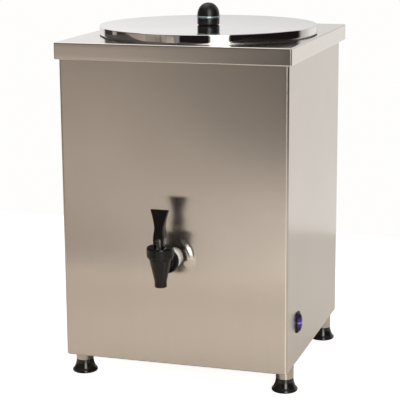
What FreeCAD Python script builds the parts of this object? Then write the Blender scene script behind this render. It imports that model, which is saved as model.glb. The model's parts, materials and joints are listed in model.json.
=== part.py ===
import FreeCAD, Part
import math
import os

import Sketcher

# Heated milk dispenser: a square stainless cabinet on four levelling feet holds a water bath, in which a round milk
# container hangs by its rim.  A lift-off lid with a knob covers it, a self-closing lever tap draws the milk off at the
# front, and a lit rocker switch low on the right side works the heater.
#
# Millimetres.  +Z up, the tap looks along -Y, the switch is on the +X side.  All positions below are in the cabinet's
# own frame (X, Y from the middle of the casing's plan, Z from the table); shift_x and shift_y carry every piece into the
# part's frame, whose origin is the middle of the bounding box, on the table.

V = FreeCAD.Vector
doc = FreeCAD.newDocument("MilkDispenser")

SIZES = [
    # cabinet
    ("shift_x", -1.3, "cabinet frame to part frame"),
    ("shift_y", 18.55, "cabinet frame to part frame"),
    ("wide", 350, "casing width"),
    ("deep", 345, "casing depth"),
    ("sheet", 1.0, "casing sheet"),
    ("base_z", 38.5, "underside of the cabinet"),
    ("top_z", 521, "top of the cover"),
    ("cover_sheet", 1.2, "cover sheet"),
    ("cover_rim", 25.4, "height of the cover's rim"),
    ("over_side", 5, "cover overhang, sides"),
    ("over_front", 6, "cover overhang, front"),
    ("over_back", 27, "cover overhang, back"),
    ("flange_w", 15, "casing return flange at the rear"),
    ("rear_t", 1.2, "rear panel sheet"),
    ("pan_t", 1.2, "base pan sheet"),
    ("pan_h", 14, "base pan flange height"),
    # bath and container
    ("well_x", 3.8, "axis of the round opening"),
    ("well_y", 2, "axis of the round opening"),
    ("opening_r", 156, "opening in the cover"),
    ("tank_r", 162, "water tank outside"),
    ("tank_z", 118, "water tank underside"),
    ("tank_sheet", 1.2, "water tank sheet"),
    ("tank_flange_r", 167, "water tank top flange"),
    ("wrap_r", 168.5, "insulation outside"),
    ("pot_r", 153, "milk container outside"),
    ("pot_z", 184, "milk container underside"),
    ("pot_sheet", 1.0, "milk container sheet"),
    ("pot_rim_r", 164, "milk container rolled rim"),
    ("pot_top", 533.9, "top of the rolled rim"),
    # lid
    ("lid_r", 168.6, "lid radius"),
    ("lid_z", 522.6, "lid skirt's lower edge"),
    ("lid_edge", 535.0, "top of the lid's skirt"),
    ("lid_top", 533.9, "lid at its middle"),
    ("lid_sheet", 0.8, "lid sheet"),
    ("knob_r", 17.4, "knob radius"),
    ("knob_ring_r", 18.2, "knob ring radius"),
    ("knob_neck", 11.4, "height of the knob's lower part"),
    ("knob_ring", 2.8, "height of the metal ring"),
    ("knob_top", 568.4, "top of the knob"),
    # feet
    ("foot_x", 161.6, "foot axis from the middle"),
    ("foot_front", -131.0, "front foot axis"),
    ("foot_back", 131.7, "rear foot axis"),
    ("sleeve_r", 13.5, "foot sleeve radius"),
    ("sleeve_z", 20, "lower edge of the foot sleeve"),
    ("pad_r", 19.8, "foot pad radius"),
    ("stud_r", 4, "foot stud, M8"),
    # tap
    ("tap_x", -4.5, "tap axis"),
    ("tap_z", 204.2, "shank axis above the table"),
    ("tap_out", 44, "barrel axis from the front panel"),
    ("shank_r", 10, "shank radius"),
    ("washer_r", 16.8, "white washer radius"),
    ("washer_t", 5, "white washer thickness"),
    ("collar_r", 18.8, "collar disc radius"),
    ("bonnet_r", 20.1, "bonnet radius"),
    ("pin_h", 35.7, "lever pin above the shank axis"),
    ("pin_r", 1.3, "lever pin radius"),
    ("lever_top", 47.8, "lever top above its pin"),
    ("lever_w", 28, "lever width at the top"),
    ("stem_r", 2.2, "valve stem radius"),
    # switch
    ("sw_y", -107.5, "switch centre"),
    ("sw_z", 101, "switch centre"),
    ("sw_w", 17, "bezel width"),
    ("sw_h", 31, "bezel height"),
    ("sw_t", 2.2, "bezel thickness"),
    # services at the rear
    ("gland_x", 118, "cable gland axis"),
    ("gland_z", 78, "cable gland axis"),
    ("drain_z", 132, "drain pipe axis"),
    ("screw_x", 167, "rear panel screws"),
]

sheet = doc.addObject("Spreadsheet::Sheet", "Sizes")
for i, (name, value, note) in enumerate(SIZES, 1):
    sheet.set("A%d" % i, repr(float(value)))
    sheet.setAlias("A%d" % i, name)
    sheet.set("B%d" % i, note)
doc.recompute()


class Q:
    """A size with its number and the sheet expression that it comes from."""

    def __init__(self, number, text):
        self.n, self.t = float(number), text

    def _join(self, other, sign, n, swap=False):
        o = other if isinstance(other, Q) else Q(other, "%.6g" % float(other))
        a, b = (o, self) if swap else (self, o)
        return Q(n(a.n, b.n), "(%s %s %s)" % (a.t, sign, b.t))

    def __add__(self, o):
        return self._join(o, "+", lambda a, b: a + b)

    def __radd__(self, o):
        return self._join(o, "+", lambda a, b: a + b, True)

    def __sub__(self, o):
        return self._join(o, "-", lambda a, b: a - b)

    def __rsub__(self, o):
        return self._join(o, "-", lambda a, b: a - b, True)

    def __mul__(self, o):
        return self._join(o, "*", lambda a, b: a * b)

    def __rmul__(self, o):
        return self._join(o, "*", lambda a, b: a * b, True)

    def __truediv__(self, o):
        return self._join(o, "/", lambda a, b: a / b)

    def __neg__(self):
        return Q(-self.n, "(0 - %s)" % self.t)


class Sizes:
    def __getattr__(self, name):
        return Q(sheet.get(name), "Sizes." + name)


P = Sizes()


def num(a):
    return a.n if isinstance(a, Q) else float(a)


def bind(obj, prop, a):
    if isinstance(a, Q):
        obj.setExpression(prop, a.t)


NODES = []


def place(obj, x=0, y=0, z=0, rot=None):
    """Puts a sub-part at x, y, z of the cabinet frame."""
    x, y = P.shift_x + x, P.shift_y + y
    obj.Placement = FreeCAD.Placement(V(num(x), num(y), num(z)), rot or FreeCAD.Rotation())
    for axis, a in zip("xyz", (x, y, z)):
        bind(obj, "Placement.Base." + axis, a)


def part_body(label, x=0, y=0, z=0, rot=None):
    b = doc.addObject("PartDesign::Body", "Body_" + label)
    b.Label = label
    place(b, x, y, z, rot)
    NODES.append(b)
    return b


def sketch(body, plane, offset=0):
    sk = body.newObject("Sketcher::SketchObject", "Sketch")
    origin = [o for o in body.Origin.OriginFeatures if o.Role == plane + "_Plane"][0]
    sk.AttachmentSupport = [(origin, "")]
    sk.MapMode = "FlatFace"
    sk.AttachmentOffset = FreeCAD.Placement(V(0, 0, num(offset)), FreeCAD.Rotation())
    bind(sk, "AttachmentOffset.Base.z", offset)
    return sk


def dim(sk, kind, geo, pos, value):
    if kind == "Radius":
        sk.addConstraint(Sketcher.Constraint("Radius", geo, num(value)))
    else:
        sk.addConstraint(Sketcher.Constraint(kind, -1, 1, geo, pos, num(value)))
    i = sk.ConstraintCount - 1
    name = "%s_%d_%d" % (kind, geo, i)
    sk.renameConstraint(i, name)
    bind(sk, "Constraints." + name, value)


def poly(sk, points):
    """A closed outline through the given points, each dimensioned from the sketch's origin."""
    first = sk.GeometryCount
    n = len(points)
    for i in range(n):
        a, b = points[i], points[(i + 1) % n]
        sk.addGeometry(Part.LineSegment(V(num(a[0]), num(a[1]), 0), V(num(b[0]), num(b[1]), 0)), False)
    for i in range(n):
        sk.addConstraint(Sketcher.Constraint("Coincident", first + i, 2, first + (i + 1) % n, 1))
    for i, (x, y) in enumerate(points):
        dim(sk, "DistanceX", first + i, 1, x)
        dim(sk, "DistanceY", first + i, 1, y)


def rect(sk, cx, cy, w, h):
    poly(sk, [(cx - w / 2, cy - h / 2), (cx + w / 2, cy - h / 2), (cx + w / 2, cy + h / 2), (cx - w / 2, cy + h / 2)])


def circle(sk, cx, cy, r):
    g = sk.GeometryCount
    sk.addGeometry(Part.Circle(V(num(cx), num(cy), 0), V(0, 0, 1), num(r)), False)
    dim(sk, "DistanceX", g, 3, cx)
    dim(sk, "DistanceY", g, 3, cy)
    dim(sk, "Radius", g, 0, r)


def checked(feature, body, grows):
    """The feature built, and the body's volume changed the way that it should."""
    doc.recompute()
    assert "Invalid" not in feature.State and "Error" not in feature.State, (body.Label, feature.Name, feature.State)
    before = feature.BaseFeature.Shape.Volume if feature.BaseFeature else 0.0
    after = feature.Shape.Volume
    assert (after > before + 1e-3) if grows else (after < before - 1e-3), (body.Label, feature.Name, before, after)
    return feature


def pad(body, sk, length, both=False, grows=True):
    f = body.newObject("PartDesign::Pad", "Pad")
    f.Profile = sk
    f.Length = num(length)
    bind(f, "Length", length)
    if both:
        f.SideType = "Symmetric"
    return checked(f, body, grows)


def cut(body, sk, depth):
    """A pocket reaching half its depth to each side of its sketch."""
    f = body.newObject("PartDesign::Pocket", "Pocket")
    f.Profile = sk
    f.Type = "Length"
    f.Length = num(depth)
    bind(f, "Length", depth)
    f.SideType = "Symmetric"
    return checked(f, body, False)


def turn(body, sk, kind="Revolution", axis="V_Axis"):
    f = body.newObject("PartDesign::" + kind, kind)
    f.Profile = sk
    f.ReferenceAxis = (sk, [axis])
    f.Angle = 360
    return checked(f, body, kind == "Revolution")


def rounded(body, radius, test, kind="Fillet"):
    """Rounds the edges of the body's last feature whose mid-point passes the test."""
    doc.recompute()
    tip = body.Tip
    names = []
    for i, e in enumerate(tip.Shape.Edges, 1):
        m = e.valueAt(0.5 * (e.FirstParameter + e.LastParameter))
        if test(m, e):
            names.append("Edge%d" % i)
    assert names, (body.Label, "no edge found")
    f = body.newObject("PartDesign::" + kind, kind)
    f.Base = (tip, names)
    prop = "Radius" if kind == "Fillet" else "Size"
    setattr(f, prop, num(radius))
    bind(f, prop, radius)
    doc.recompute()
    assert "Invalid" not in f.State and "Error" not in f.State and f.Shape.isValid(), (body.Label, f.State)
    return f


def turned(label, profile, x=0, y=0, z=0, rot=None):
    """A turned piece: the profile's points are (radius, height) about the piece's own Z axis."""
    b = part_body(label, x, y, z, rot)
    sk = sketch(b, "XZ")
    poly(sk, profile)
    turn(b, sk)
    return b


def near(a, b, tol=0.02):
    return abs(a - num(b)) < tol


def upright(m, e):
    return near(abs(e.tangentAt(e.FirstParameter).z), 1.0, 1e-6) and e.Curve.TypeId == "Part::GeomLine"


FRONT = FreeCAD.Rotation(V(1, 0, 0), 90)  # a piece's own +Z to the front (-Y)
REAR = FreeCAD.Rotation(V(1, 0, 0), -90)  # a piece's own +Z to the rear (+Y)

hw, hd = P.wide / 2, P.deep / 2

# ---------------------------------------------------------------- casing
# Front and both sides in one bent sheet, with a return flange down each rear edge.
b = part_body("casing_wrap", 0, 0, P.base_z)
sk = sketch(b, "XY")
yr = hd - P.rear_t
poly(sk, [
    (-hw, -hd), (hw, -hd), (hw, yr), (hw - P.flange_w, yr), (hw - P.flange_w, yr - P.sheet), (hw - P.sheet, yr - P.sheet),
    (hw - P.sheet, P.sheet - hd), (P.sheet - hw, P.sheet - hd), (P.sheet - hw, yr - P.sheet),
    (P.flange_w - hw, yr - P.sheet), (P.flange_w - hw, yr), (-hw, yr),
])
pad(b, sk, P.top_z - P.cover_sheet - P.base_z)
rounded(b, 3.5, lambda m, e: upright(m, e) and near(abs(m.x), hw - P.sheet) and near(m.y, P.sheet - hd))
rounded(b, 4.5, lambda m, e: upright(m, e) and near(abs(m.x), hw) and near(m.y, -hd))
rounded(b, 1.8, lambda m, e: upright(m, e) and near(abs(m.x), hw) and near(m.y, yr))
rounded(b, 0.8, lambda m, e: upright(m, e) and near(abs(m.x), hw - P.sheet) and near(m.y, yr - P.sheet))
sk = sketch(b, "XZ", hd - P.sheet / 2)
circle(sk, P.tap_x, P.tap_z - P.base_z, P.shank_r + 0.5)
cut(b, sk, 4)
sk = sketch(b, "YZ", hw - P.sheet / 2)
rect(sk, P.sw_y, P.sw_z - P.base_z, P.sw_w - 3, P.sw_h - 3)
cut(b, sk, 4)
SCREW_Z = (60, 190, 330, 470)
sk = sketch(b, "XZ", -(yr - P.sheet / 2))
for sx in (-1, 1):
    for sz in SCREW_Z:
        circle(sk, P.screw_x * sx, sz - P.base_z, 1.65)
cut(b, sk, 4)

# Base pan, with its edges folded up inside the casing.
b = part_body("base_pan", 0, 0, P.base_z)
px, pf, pb = hw - P.sheet - 0.1, hd - P.sheet - 0.1, yr - P.sheet - 0.1
sk = sketch(b, "XY")
poly(sk, [(-px, -pf), (px, -pf), (px, pb), (-px, pb)])
pad(b, sk, P.pan_h)
rounded(b, 3.6, lambda m, e: upright(m, e))
sk = sketch(b, "XY", P.pan_t + (P.pan_h - P.pan_t))
poly(sk, [(P.pan_t - px, P.pan_t - pf), (px - P.pan_t, P.pan_t - pf), (px - P.pan_t, pb - P.pan_t), (P.pan_t - px, pb - P.pan_t)])
cut(b, sk, (P.pan_h - P.pan_t) * 2)
rounded(b, 2.4, lambda m, e: upright(m, e) and near(abs(m.x), px - P.pan_t))
sk = sketch(b, "XY")
for sx in (-1, 1):
    for fy in (P.foot_front, P.foot_back):
        circle(sk, P.foot_x * sx, fy, P.stud_r + 0.5)
for row in range(5):
    rect(sk, Q(0, "0"), Q(-40 + 20 * row, "%g" % (-40 + 20 * row)), Q(90, "90"), Q(5, "5"))
cut(b, sk, 6)

# Rear panel, screwed to the return flanges, with two rows of louvre slots.
b = part_body("rear_panel", 0, hd - P.rear_t, P.base_z)
sk = sketch(b, "XZ", -P.rear_t)
ph = P.top_z - P.cover_sheet - P.base_z - 0.5
poly(sk, [(0.5 - hw, 0.3), (hw - 0.5, 0.3), (hw - 0.5, ph), (0.5 - hw, ph)])
pad(b, sk, P.rear_t)
sk = sketch(b, "XZ", -(P.rear_t / 2))
for sx in (-1, 1):
    for sz in SCREW_Z:
        circle(sk, P.screw_x * sx, sz - P.base_z, 2.1)
circle(sk, P.gland_x, P.gland_z - P.base_z, 9.2)
circle(sk, P.well_x, P.drain_z - P.base_z, 8.0)
for col in (-1, 1):
    for row in range(6):
        rect(sk, Q(78 * col, "%g" % (78 * col)), Q(355 + 12 * row, "%g" % (355 + 12 * row)), Q(62, "62"), Q(3.4, "3.4"))
for row in range(4):
    rect(sk, Q(-78, "-78"), Q(18 + 12 * row, "%g" % (18 + 12 * row)), Q(62, "62"), Q(3.4, "3.4"))
cut(b, sk, 4)

# Top cover: a shallow box, its rim hemmed back to the casing, with the round opening.
b = part_body("top_cover", 0, 0, P.top_z - P.cover_rim)
cx, cf, cb = hw + P.over_side, hd + P.over_front, hd + P.over_back
sk = sketch(b, "XY")
poly(sk, [(-cx, -cf), (cx, -cf), (cx, cb), (-cx, cb)])
pad(b, sk, P.cover_rim)
rounded(b, 2.5, lambda m, e: upright(m, e))
rounded(b, 2.4, lambda m, e: near(m.z, P.cover_rim))
rounded(b, 1.6, lambda m, e: near(m.z, 0))
ct = P.cover_sheet
sk = sketch(b, "XY", P.cover_rim / 2)
poly(sk, [(ct - cx, ct - cf), (cx - ct, ct - cf), (cx - ct, cb - ct), (ct - cx, cb - ct)])
cut(b, sk, P.cover_rim - ct * 2)
rounded(b, 1.4, lambda m, e: near(m.z, P.cover_rim - ct) and abs(m.z) > 1)
sk = sketch(b, "XY")
poly(sk, [(-hw - 0.3, -hd - 0.3), (hw + 0.3, -hd - 0.3), (hw + 0.3, hd + 0.3), (-hw - 0.3, hd + 0.3)])
cut(b, sk, ct * 3)
sk = sketch(b, "XY", P.cover_rim)
circle(sk, P.well_x, P.well_y, P.opening_r)
cut(b, sk, ct * 4)

# Screws of the rear panel: pan heads with a cross recess.
def group(label, solids):
    c = doc.addObject("Part::Compound", "Group_" + label)
    c.Label = label
    c.Links = solids
    place(c)
    NODES.append(c)
    return c


def prim(kind, at, rot=None, **sizes):
    o = doc.addObject("Part::" + kind, kind)
    o.Placement = FreeCAD.Placement(V(*[num(a) for a in at]), rot or FreeCAD.Rotation())
    for axis, a in zip("xyz", at):
        bind(o, "Placement.Base." + axis, a)
    for k, v in sizes.items():
        setattr(o, k, v if isinstance(v, int) else num(v))
        bind(o, k, v)
    return o


def fuse(*shapes):
    f = doc.addObject("Part::MultiFuse", "Fuse")
    f.Shapes = list(shapes)
    return f


def minus(base, *tools):
    for tool in tools:
        c = doc.addObject("Part::Cut", "Cut")
        c.Base, c.Tool = base, tool
        base = c
    return base


def screw(x, y, z):
    head = prim("Cylinder", (x, y, z), REAR, Radius=3.6, Height=1.6)
    crown = prim("Cone", (x, y + 1.6, z), REAR, Radius1=3.6, Radius2=2.4, Height=0.8)
    shank = prim("Cylinder", (x, y - 5, z), REAR, Radius=1.6, Height=5.5)
    slot_a = prim("Box", (x - 1.8, y + 1.2, z - 0.35), None, Length=3.6, Width=2, Height=0.7)
    slot_b = prim("Box", (x - 0.35, y + 1.2, z - 1.8), None, Length=0.7, Width=2, Height=3.6)
    return minus(fuse(head, crown, shank), slot_a, slot_b)


group("rear_panel_screws", [screw(P.screw_x * sx, hd, Q(sz, "%g" % sz)) for sx in (-1, 1) for sz in SCREW_Z])

# ---------------------------------------------------------------- feet
FEET = [("front_left", -1, P.foot_front), ("front_right", 1, P.foot_front), ("rear_left", -1, P.foot_back), ("rear_right", 1, P.foot_back)]


def hexagon(x, y, z, r, h, rot=None):
    return prim("Prism", (x, y, z), rot, Polygon=6, Circumradius=r, Height=h)


sleeves, nuts = [], []
for name, sx, fy in FEET:
    fx = P.foot_x * sx
    outer = prim("Cylinder", (fx, fy, P.sleeve_z), None, Radius=P.sleeve_r, Height=P.base_z - P.sleeve_z)
    inner = prim("Cylinder", (fx, fy, P.sleeve_z - 1), None, Radius=P.sleeve_r - 1, Height=P.base_z - P.sleeve_z - 0.5)
    hole = prim("Cylinder", (fx, fy, P.sleeve_z), None, Radius=P.stud_r + 0.5, Height=30)
    sleeves.append(minus(outer, inner, hole))
    nut = hexagon(fx, fy, P.base_z + P.pan_t, Q(7.5, "7.5"), Q(6.5, "6.5"))
    bore = prim("Cylinder", (fx, fy, P.base_z), None, Radius=P.stud_r + 0.05, Height=12)
    nuts.append(minus(nut, bore))
    # pad with its steel stud; the pad's neck runs inside the sleeve
    pr = P.pad_r
    turned("foot_pad_" + name, [
        (0, 0), (pr - 2.2, 0), (pr - 0.8, 0.5), (pr - 0.1, 1.6), (pr, 2.8), (pr - 0.3, 4.0), (pr - 1.6, 5.2), (pr - 3.2, 7.6),
        (pr - 4.6, 10.8), (pr - 5.6, 14.4), (P.sleeve_r - 0.1, P.sleeve_z - 1.2), (P.sleeve_r - 0.2, P.sleeve_z - 0.15),
        (P.sleeve_r - 1.3, P.sleeve_z - 0.15), (P.sleeve_r - 1.3, P.sleeve_z + 12), (P.stud_r, P.sleeve_z + 12), (P.stud_r, 8), (0, 8),
    ], fx, fy, 0)
    turned("foot_stud_" + name, [(0, 8), (P.stud_r, 8), (P.stud_r, 57), (P.stud_r - 1, 58), (0, 58)], fx, fy, 0)
group("foot_sleeves", sleeves)
group("foot_nuts", nuts)

# ---------------------------------------------------------------- water bath and milk container
wx, wy = P.well_x, P.well_y
tt = P.tank_sheet
tz, tu = P.tank_z, P.top_z - P.cover_sheet
b = turned("water_tank", [
    (0, tz), (P.tank_r, tz), (P.tank_r, tu - tt), (P.tank_flange_r, tu - tt), (P.tank_flange_r, tu), (P.tank_r - tt, tu),
    (P.tank_r - tt, tz + tt), (0, tz + tt),
], wx, wy)
rounded(b, 8, lambda m, e: near(math.hypot(m.x, m.y), P.tank_r) and near(m.z, tz))
rounded(b, 6.8, lambda m, e: near(math.hypot(m.x, m.y), P.tank_r - tt) and near(m.z, tz + tt))
sk = sketch(b, "XZ", 158)
circle(sk, P.tap_x - wx, P.tap_z, 17)
cut(b, sk, 14)
sk = sketch(b, "XZ", -160)
circle(sk, Q(0, "0"), P.drain_z, 7)
cut(b, sk, 8)
LEG = 22
leg_y = math.sqrt(104 ** 2 - LEG ** 2)
sk = sketch(b, "XY", tz)
for sx in (-1, 1):
    circle(sk, Q(sx * LEG, "%g" % (sx * LEG)), Q(leg_y, "sqrt(104 ^ 2 - %g ^ 2)" % LEG), 5)
cut(b, sk, 8)

b = turned("insulation_wrap", [
    (P.tank_r + 0.4, 140), (P.wrap_r, 140), (P.wrap_r, P.top_z - P.cover_rim - 4), (P.tank_r + 0.4, P.top_z - P.cover_rim - 4),
], wx, wy)
sk = sketch(b, "XZ", 165)
circle(sk, P.tap_x - wx, P.tap_z, 18)
cut(b, sk, 16)

pt = P.pot_sheet
b = turned("milk_container", [
    (P.pot_r - pt, P.pot_z), (P.pot_r, P.pot_z), (P.pot_r, P.pot_top - pt), (P.pot_rim_r - pt, P.pot_top - pt), (P.pot_rim_r - pt, P.top_z),
    (P.pot_rim_r, P.top_z), (P.pot_rim_r, P.pot_top), (P.pot_r - pt, P.pot_top),
], wx, wy)


def ring_edge(r, z):
    return lambda m, e: near(math.hypot(m.x, m.y), r) and near(m.z, z)


rounded(b, 3, ring_edge(P.pot_rim_r, P.pot_top))
rounded(b, 2, ring_edge(P.pot_rim_r - pt, P.pot_top - pt))
rounded(b, 3, ring_edge(P.pot_r - pt, P.pot_top))
rounded(b, 2, ring_edge(P.pot_r, P.pot_top - pt))
sk = sketch(b, "XZ", 150)
circle(sk, P.tap_x - wx, P.tap_z, 17)
cut(b, sk, 10)
# its floor, a flat disc seam-welded into the wall
pfr = P.pot_r - pt
turned("container_floor", [(0, P.pot_z), (pfr, P.pot_z), (pfr, P.pot_z + pt), (0, P.pot_z + pt)], wx, wy)

# Heating element: a ring of sheathed tube, with two legs down through the bath's floor.
er, et, ez = 104, 4.2, 142
ang = math.degrees(math.asin(LEG / er))
ring_part = prim("Torus", (0, 0, ez), FreeCAD.Rotation(V(0, 0, 1), 90 + ang), Radius1=er, Radius2=et, Angle3=360 - 2 * ang)
ly = math.sqrt(er * er - LEG * LEG)
legs = [prim("Cylinder", (sx * LEG, ly, 100), None, Radius=et, Height=ez - 100) for sx in (-1, 1)]
knees = [prim("Sphere", (sx * LEG, ly, ez), None, Radius=et) for sx in (-1, 1)]
el = fuse(ring_part, *(legs + knees))
el.Label = "heating_element"
place(el, wx, wy)
NODES.append(el)
fittings = []
for sx in (-1, 1):
    nut = hexagon(wx + sx * LEG, wy + ly, tz - 6, Q(9, "9"), Q(6, "6"))
    bush = prim("Cylinder", (wx + sx * LEG, wy + ly, tz + tt), None, Radius=8, Height=4)
    neck = prim("Cylinder", (wx + sx * LEG, wy + ly, tz - 6), None, Radius=4.95, Height=11)
    fittings.append(minus(fuse(nut, bush, neck), prim("Cylinder", (wx + sx * LEG, wy + ly, tz - 10), None, Radius=et + 0.02, Height=20)))
group("element_fittings", fittings)
tags = [prim("Box", (wx + sx * LEG - 3.15, wy + ly - 0.4, 88), None, Length=6.3, Width=0.8, Height=12) for sx in (-1, 1)]
group("element_terminals", tags)

# Thermostat and cut-out: discs clipped under the bath.
for label, x, y in (("thermostat", -40, 20), ("safety_cutout", 45, -15)):
    can = prim("Cylinder", (x, y, tz - 7), None, Radius=12.5, Height=7)
    body = prim("Cylinder", (x, y, tz - 17), None, Radius=9, Height=10)
    ears = prim("Box", (x - 19, y - 4, tz - 8), None, Length=38, Width=8, Height=1)
    tabs = [prim("Box", (x - 0.4 + s * 6, y - 3.15, tz - 26), None, Length=0.8, Width=6.3, Height=9) for s in (-1, 1)]
    f = fuse(can, body, ears, *tabs)
    f.Label = label
    place(f, wx, wy)
    NODES.append(f)

# Outlet: a turned bush joins the container to the bath's wall and takes the tap's shank.
tx, tzz = P.tap_x, P.tap_z


def shank_piece(label, profile):
    """A turned piece on the shank's axis; its own height is the distance out from the front panel."""
    return turned(label, profile, tx, -hd, tzz, FRONT)


hr = P.shank_r + 0.4
shank_piece("outlet_bush", [(hr, -27), (17, -27), (17, -2.5), (hr, -2.5)])
shank_piece("bush_gasket", [(hr, -2.5), (16, -2.5), (16, -P.sheet), (hr, -P.sheet)])
shank_piece("container_gasket", [(hr, -28.5), (16, -28.5), (16, -27), (hr, -27)])
shank_piece("tap_washer", [(P.shank_r + 0.3, 0), (P.washer_r - 0.4, 0), (P.washer_r, 0.5), (P.washer_r, P.washer_t - 0.5), (P.washer_r - 0.4, P.washer_t), (P.shank_r + 0.3, P.washer_t)])
b = part_body("shank_nut", tx, -hd, tzz, FRONT)
sk = sketch(b, "XY", -37.5)
nr = 17.0
poly(sk, [(nr * math.cos(math.radians(60 * k)), nr * math.sin(math.radians(60 * k))) for k in range(6)])
circle(sk, Q(0, "0"), Q(0, "0"), P.shank_r + 0.1)
pad(b, sk, 9)

# ---------------------------------------------------------------- tap
# Body origin: where the barrel's axis meets the shank's axis.
ty = -hd - P.tap_out
b = part_body("tap_body", tx, ty, tzz)
sk = sketch(b, "XY")
sr = P.shank_r
out = P.tap_out
cr = P.collar_r
poly(sk, [
    (0, 0), (10.5, 0), (10.5, out - 18), (cr - 1.2, out - 18), (cr, out - 17), (cr, out - 14.5), (cr - 1.2, out - 13.5), (13.5, out - 13.5),
    (13.5, out - P.washer_t), (sr, out - P.washer_t), (sr, out + 41), (sr - 1, out + 42), (0, out + 42),
])
turn(b, sk)
sk = sketch(b, "XZ")
poly(sk, [(0, -32), (8.7, -32), (9.0, -31.6), (9.0, -21.5), (16.4, 10.5), (16.4, 11.5), (14, 11.5), (14, 23), (0, 23)])
turn(b, sk)
sk = sketch(b, "XZ")
poly(sk, [(0, -34), (5.5, -34), (5.5, -8), (10, -8), (10, 25), (0, 25)])
turn(b, sk, "Groove")
sk = sketch(b, "XY")
poly(sk, [(0, 5), (6, 5), (6, out + 45), (0, out + 45)])
turn(b, sk, "Groove")

br = P.bonnet_r
turned("tap_bonnet", [
    (17.0, 11.7), (br - 0.7, 13.0), (br, 14.6), (br, 26.6), (br - 0.5, 27.9), (br - 1.8, 28.5), (P.stem_r + 0.1, 28.5),
    (P.stem_r + 0.1, 23.2), (14.15, 23.2), (14.15, 11.7),
], tx, ty, tzz)

# Stem with its spring collar and barbed foot, and the flat for the lever's fork.
b = turned("tap_stem", [
    (0, -5), (2.6, -5), (2.6, -4), (P.stem_r, -3), (P.stem_r, 2.5), (6.2, 2.5), (6.2, 4), (P.stem_r, 4), (P.stem_r, P.pin_h + 3.2),
    (P.stem_r - 0.8, P.pin_h + 4), (0, P.pin_h + 4),
], tx, ty, tzz)
sk = sketch(b, "YZ")
circle(sk, Q(0, "0"), P.pin_h, P.pin_r)
cut(b, sk, 10)
turned("tap_seat_cup", [
    (0, -8), (8, -8), (8.6, -7), (8.6, -4.5), (7.6, -3.5), (4.6, -3), (4.6, 2.4), (2.65, 2.4), (2.65, -5), (0, -5),
], tx, ty, tzz)
b = part_body("tap_pivot_pin", tx, ty, tzz + P.pin_h)
sk = sketch(b, "YZ")
circle(sk, Q(0, "0"), Q(0, "0"), P.pin_r)
pad(b, sk, 15.2, both=True)

# Closing spring, between the stem's collar and the bonnet.
path = doc.addObject("Part::Helix", "SpringPath")
path.Radius = 5.2
path.Pitch = 3.9
path.Height = 17.6
path.SegmentLength = 1
# the wire's section is a twelve-sided polygon, which keeps this small coil light
ring_sec = doc.addObject("Part::RegularPolygon", "SpringWire")
ring_sec.Polygon = 12
ring_sec.Circumradius = 0.46
ring_sec.Placement = FreeCAD.Placement(V(5.2, 0, 0), FreeCAD.Rotation(V(1, 0, 0), 90))
sweep = doc.addObject("Part::Sweep", "SpringCoil")
sweep.Sections = [ring_sec]
sweep.Spine = path
sweep.Solid = True
sweep.Frenet = True
sweep.Label = "tap_spring"
place(sweep, tx, ty, tzz + 4.8)
NODES.append(sweep)

# Lever: two cam feet on the bonnet, a fork about the stem, and a flat flared grip.
b = part_body("tap_lever", tx, ty, tzz + P.pin_h)
lt = P.lever_top
sk = sketch(b, "YZ")
poly(sk, [
    (-10, -7), (10, -7), (10, 1), (9.2, 8), (7.2, 20), (5.2, 30), (3.6, 40), (2.6, lt), (-2.6, lt), (-3.6, 40), (-5.2, 30), (-7.2, 20),
    (-9.2, 8), (-10, 1),
])
pad(b, sk, P.lever_w, both=True)
rounded(b, 5, lambda m, e: near(abs(m.y), 10) and near(m.z, -7))
sk = sketch(b, "XZ")
lw = P.lever_w / 2
for s in (-1, 1):
    poly(sk, [
        (s * (lw + 2), -9), (s * (lw + 2), lt + 2), (s * lw, lt + 2), (s * lw, lt), (s * 12.6, lt - 4.3), (s * 10.2, lt - 11.8),
        (s * 8.4, lt - 18.8), (s * 6.95, lt - 27.2), (s * 8.1, lt - 38), (s * 8.2, 4), (s * 7.8, 0), (s * 7.7, -9),
    ])
cut(b, sk, 40)
sk = sketch(b, "XZ")
rect(sk, Q(0, "0"), Q(-0.85, "-0.85"), Q(8.4, "8.4"), Q(16.3, "16.3"))
cut(b, sk, 40)
sk = sketch(b, "YZ")
circle(sk, Q(0, "0"), Q(0, "0"), P.pin_r + 0.05)
cut(b, sk, 40)

# ---------------------------------------------------------------- lid
lz, le, lr, ls = P.lid_z, P.lid_edge, P.lid_r, P.lid_sheet
b = turned("lid", [
    (4.1, P.lid_top - ls), (24, P.lid_top - ls), (60, P.lid_top - ls + 0.14), (120, P.lid_top - ls + 0.56), (lr - 3, le - ls + 0.05), (lr - ls, le - ls),
    (lr - ls, lz), (lr, lz), (lr, le), (lr - 3, le + 0.05), (120, P.lid_top + 0.56), (60, P.lid_top + 0.14), (24, P.lid_top), (4.1, P.lid_top),
], wx, wy)
kt = P.lid_top
kr = P.knob_r
turned("knob_base", [(3.1, kt), (kr - 0.8, kt), (kr, kt + 0.8), (kr, kt + P.knob_neck), (3.1, kt + P.knob_neck)], wx, wy)
ring_z = kt + P.knob_neck
turned("knob_ring", [
    (3.1, ring_z), (P.knob_ring_r - 0.4, ring_z), (P.knob_ring_r, ring_z + 0.4), (P.knob_ring_r, ring_z + P.knob_ring - 0.4),
    (P.knob_ring_r - 0.4, ring_z + P.knob_ring), (3.1, ring_z + P.knob_ring),
], wx, wy)
dome_z = ring_z + P.knob_ring
dome_h = P.knob_top - dome_z
dome = [(0, dome_z + 8), (3.1, dome_z + 8), (3.1, dome_z)]
for k in range(13):
    t = math.radians(90 * k / 12)
    # upright at the ring, then a near-round crown
    dome.append(((kr - 0.1) * (math.cos(t) ** 0.86 if k < 12 else 0), dome_z + dome_h * (math.sin(t) ** 0.98 if k else 0)))
turned("knob_dome", dome, wx, wy)
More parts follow.
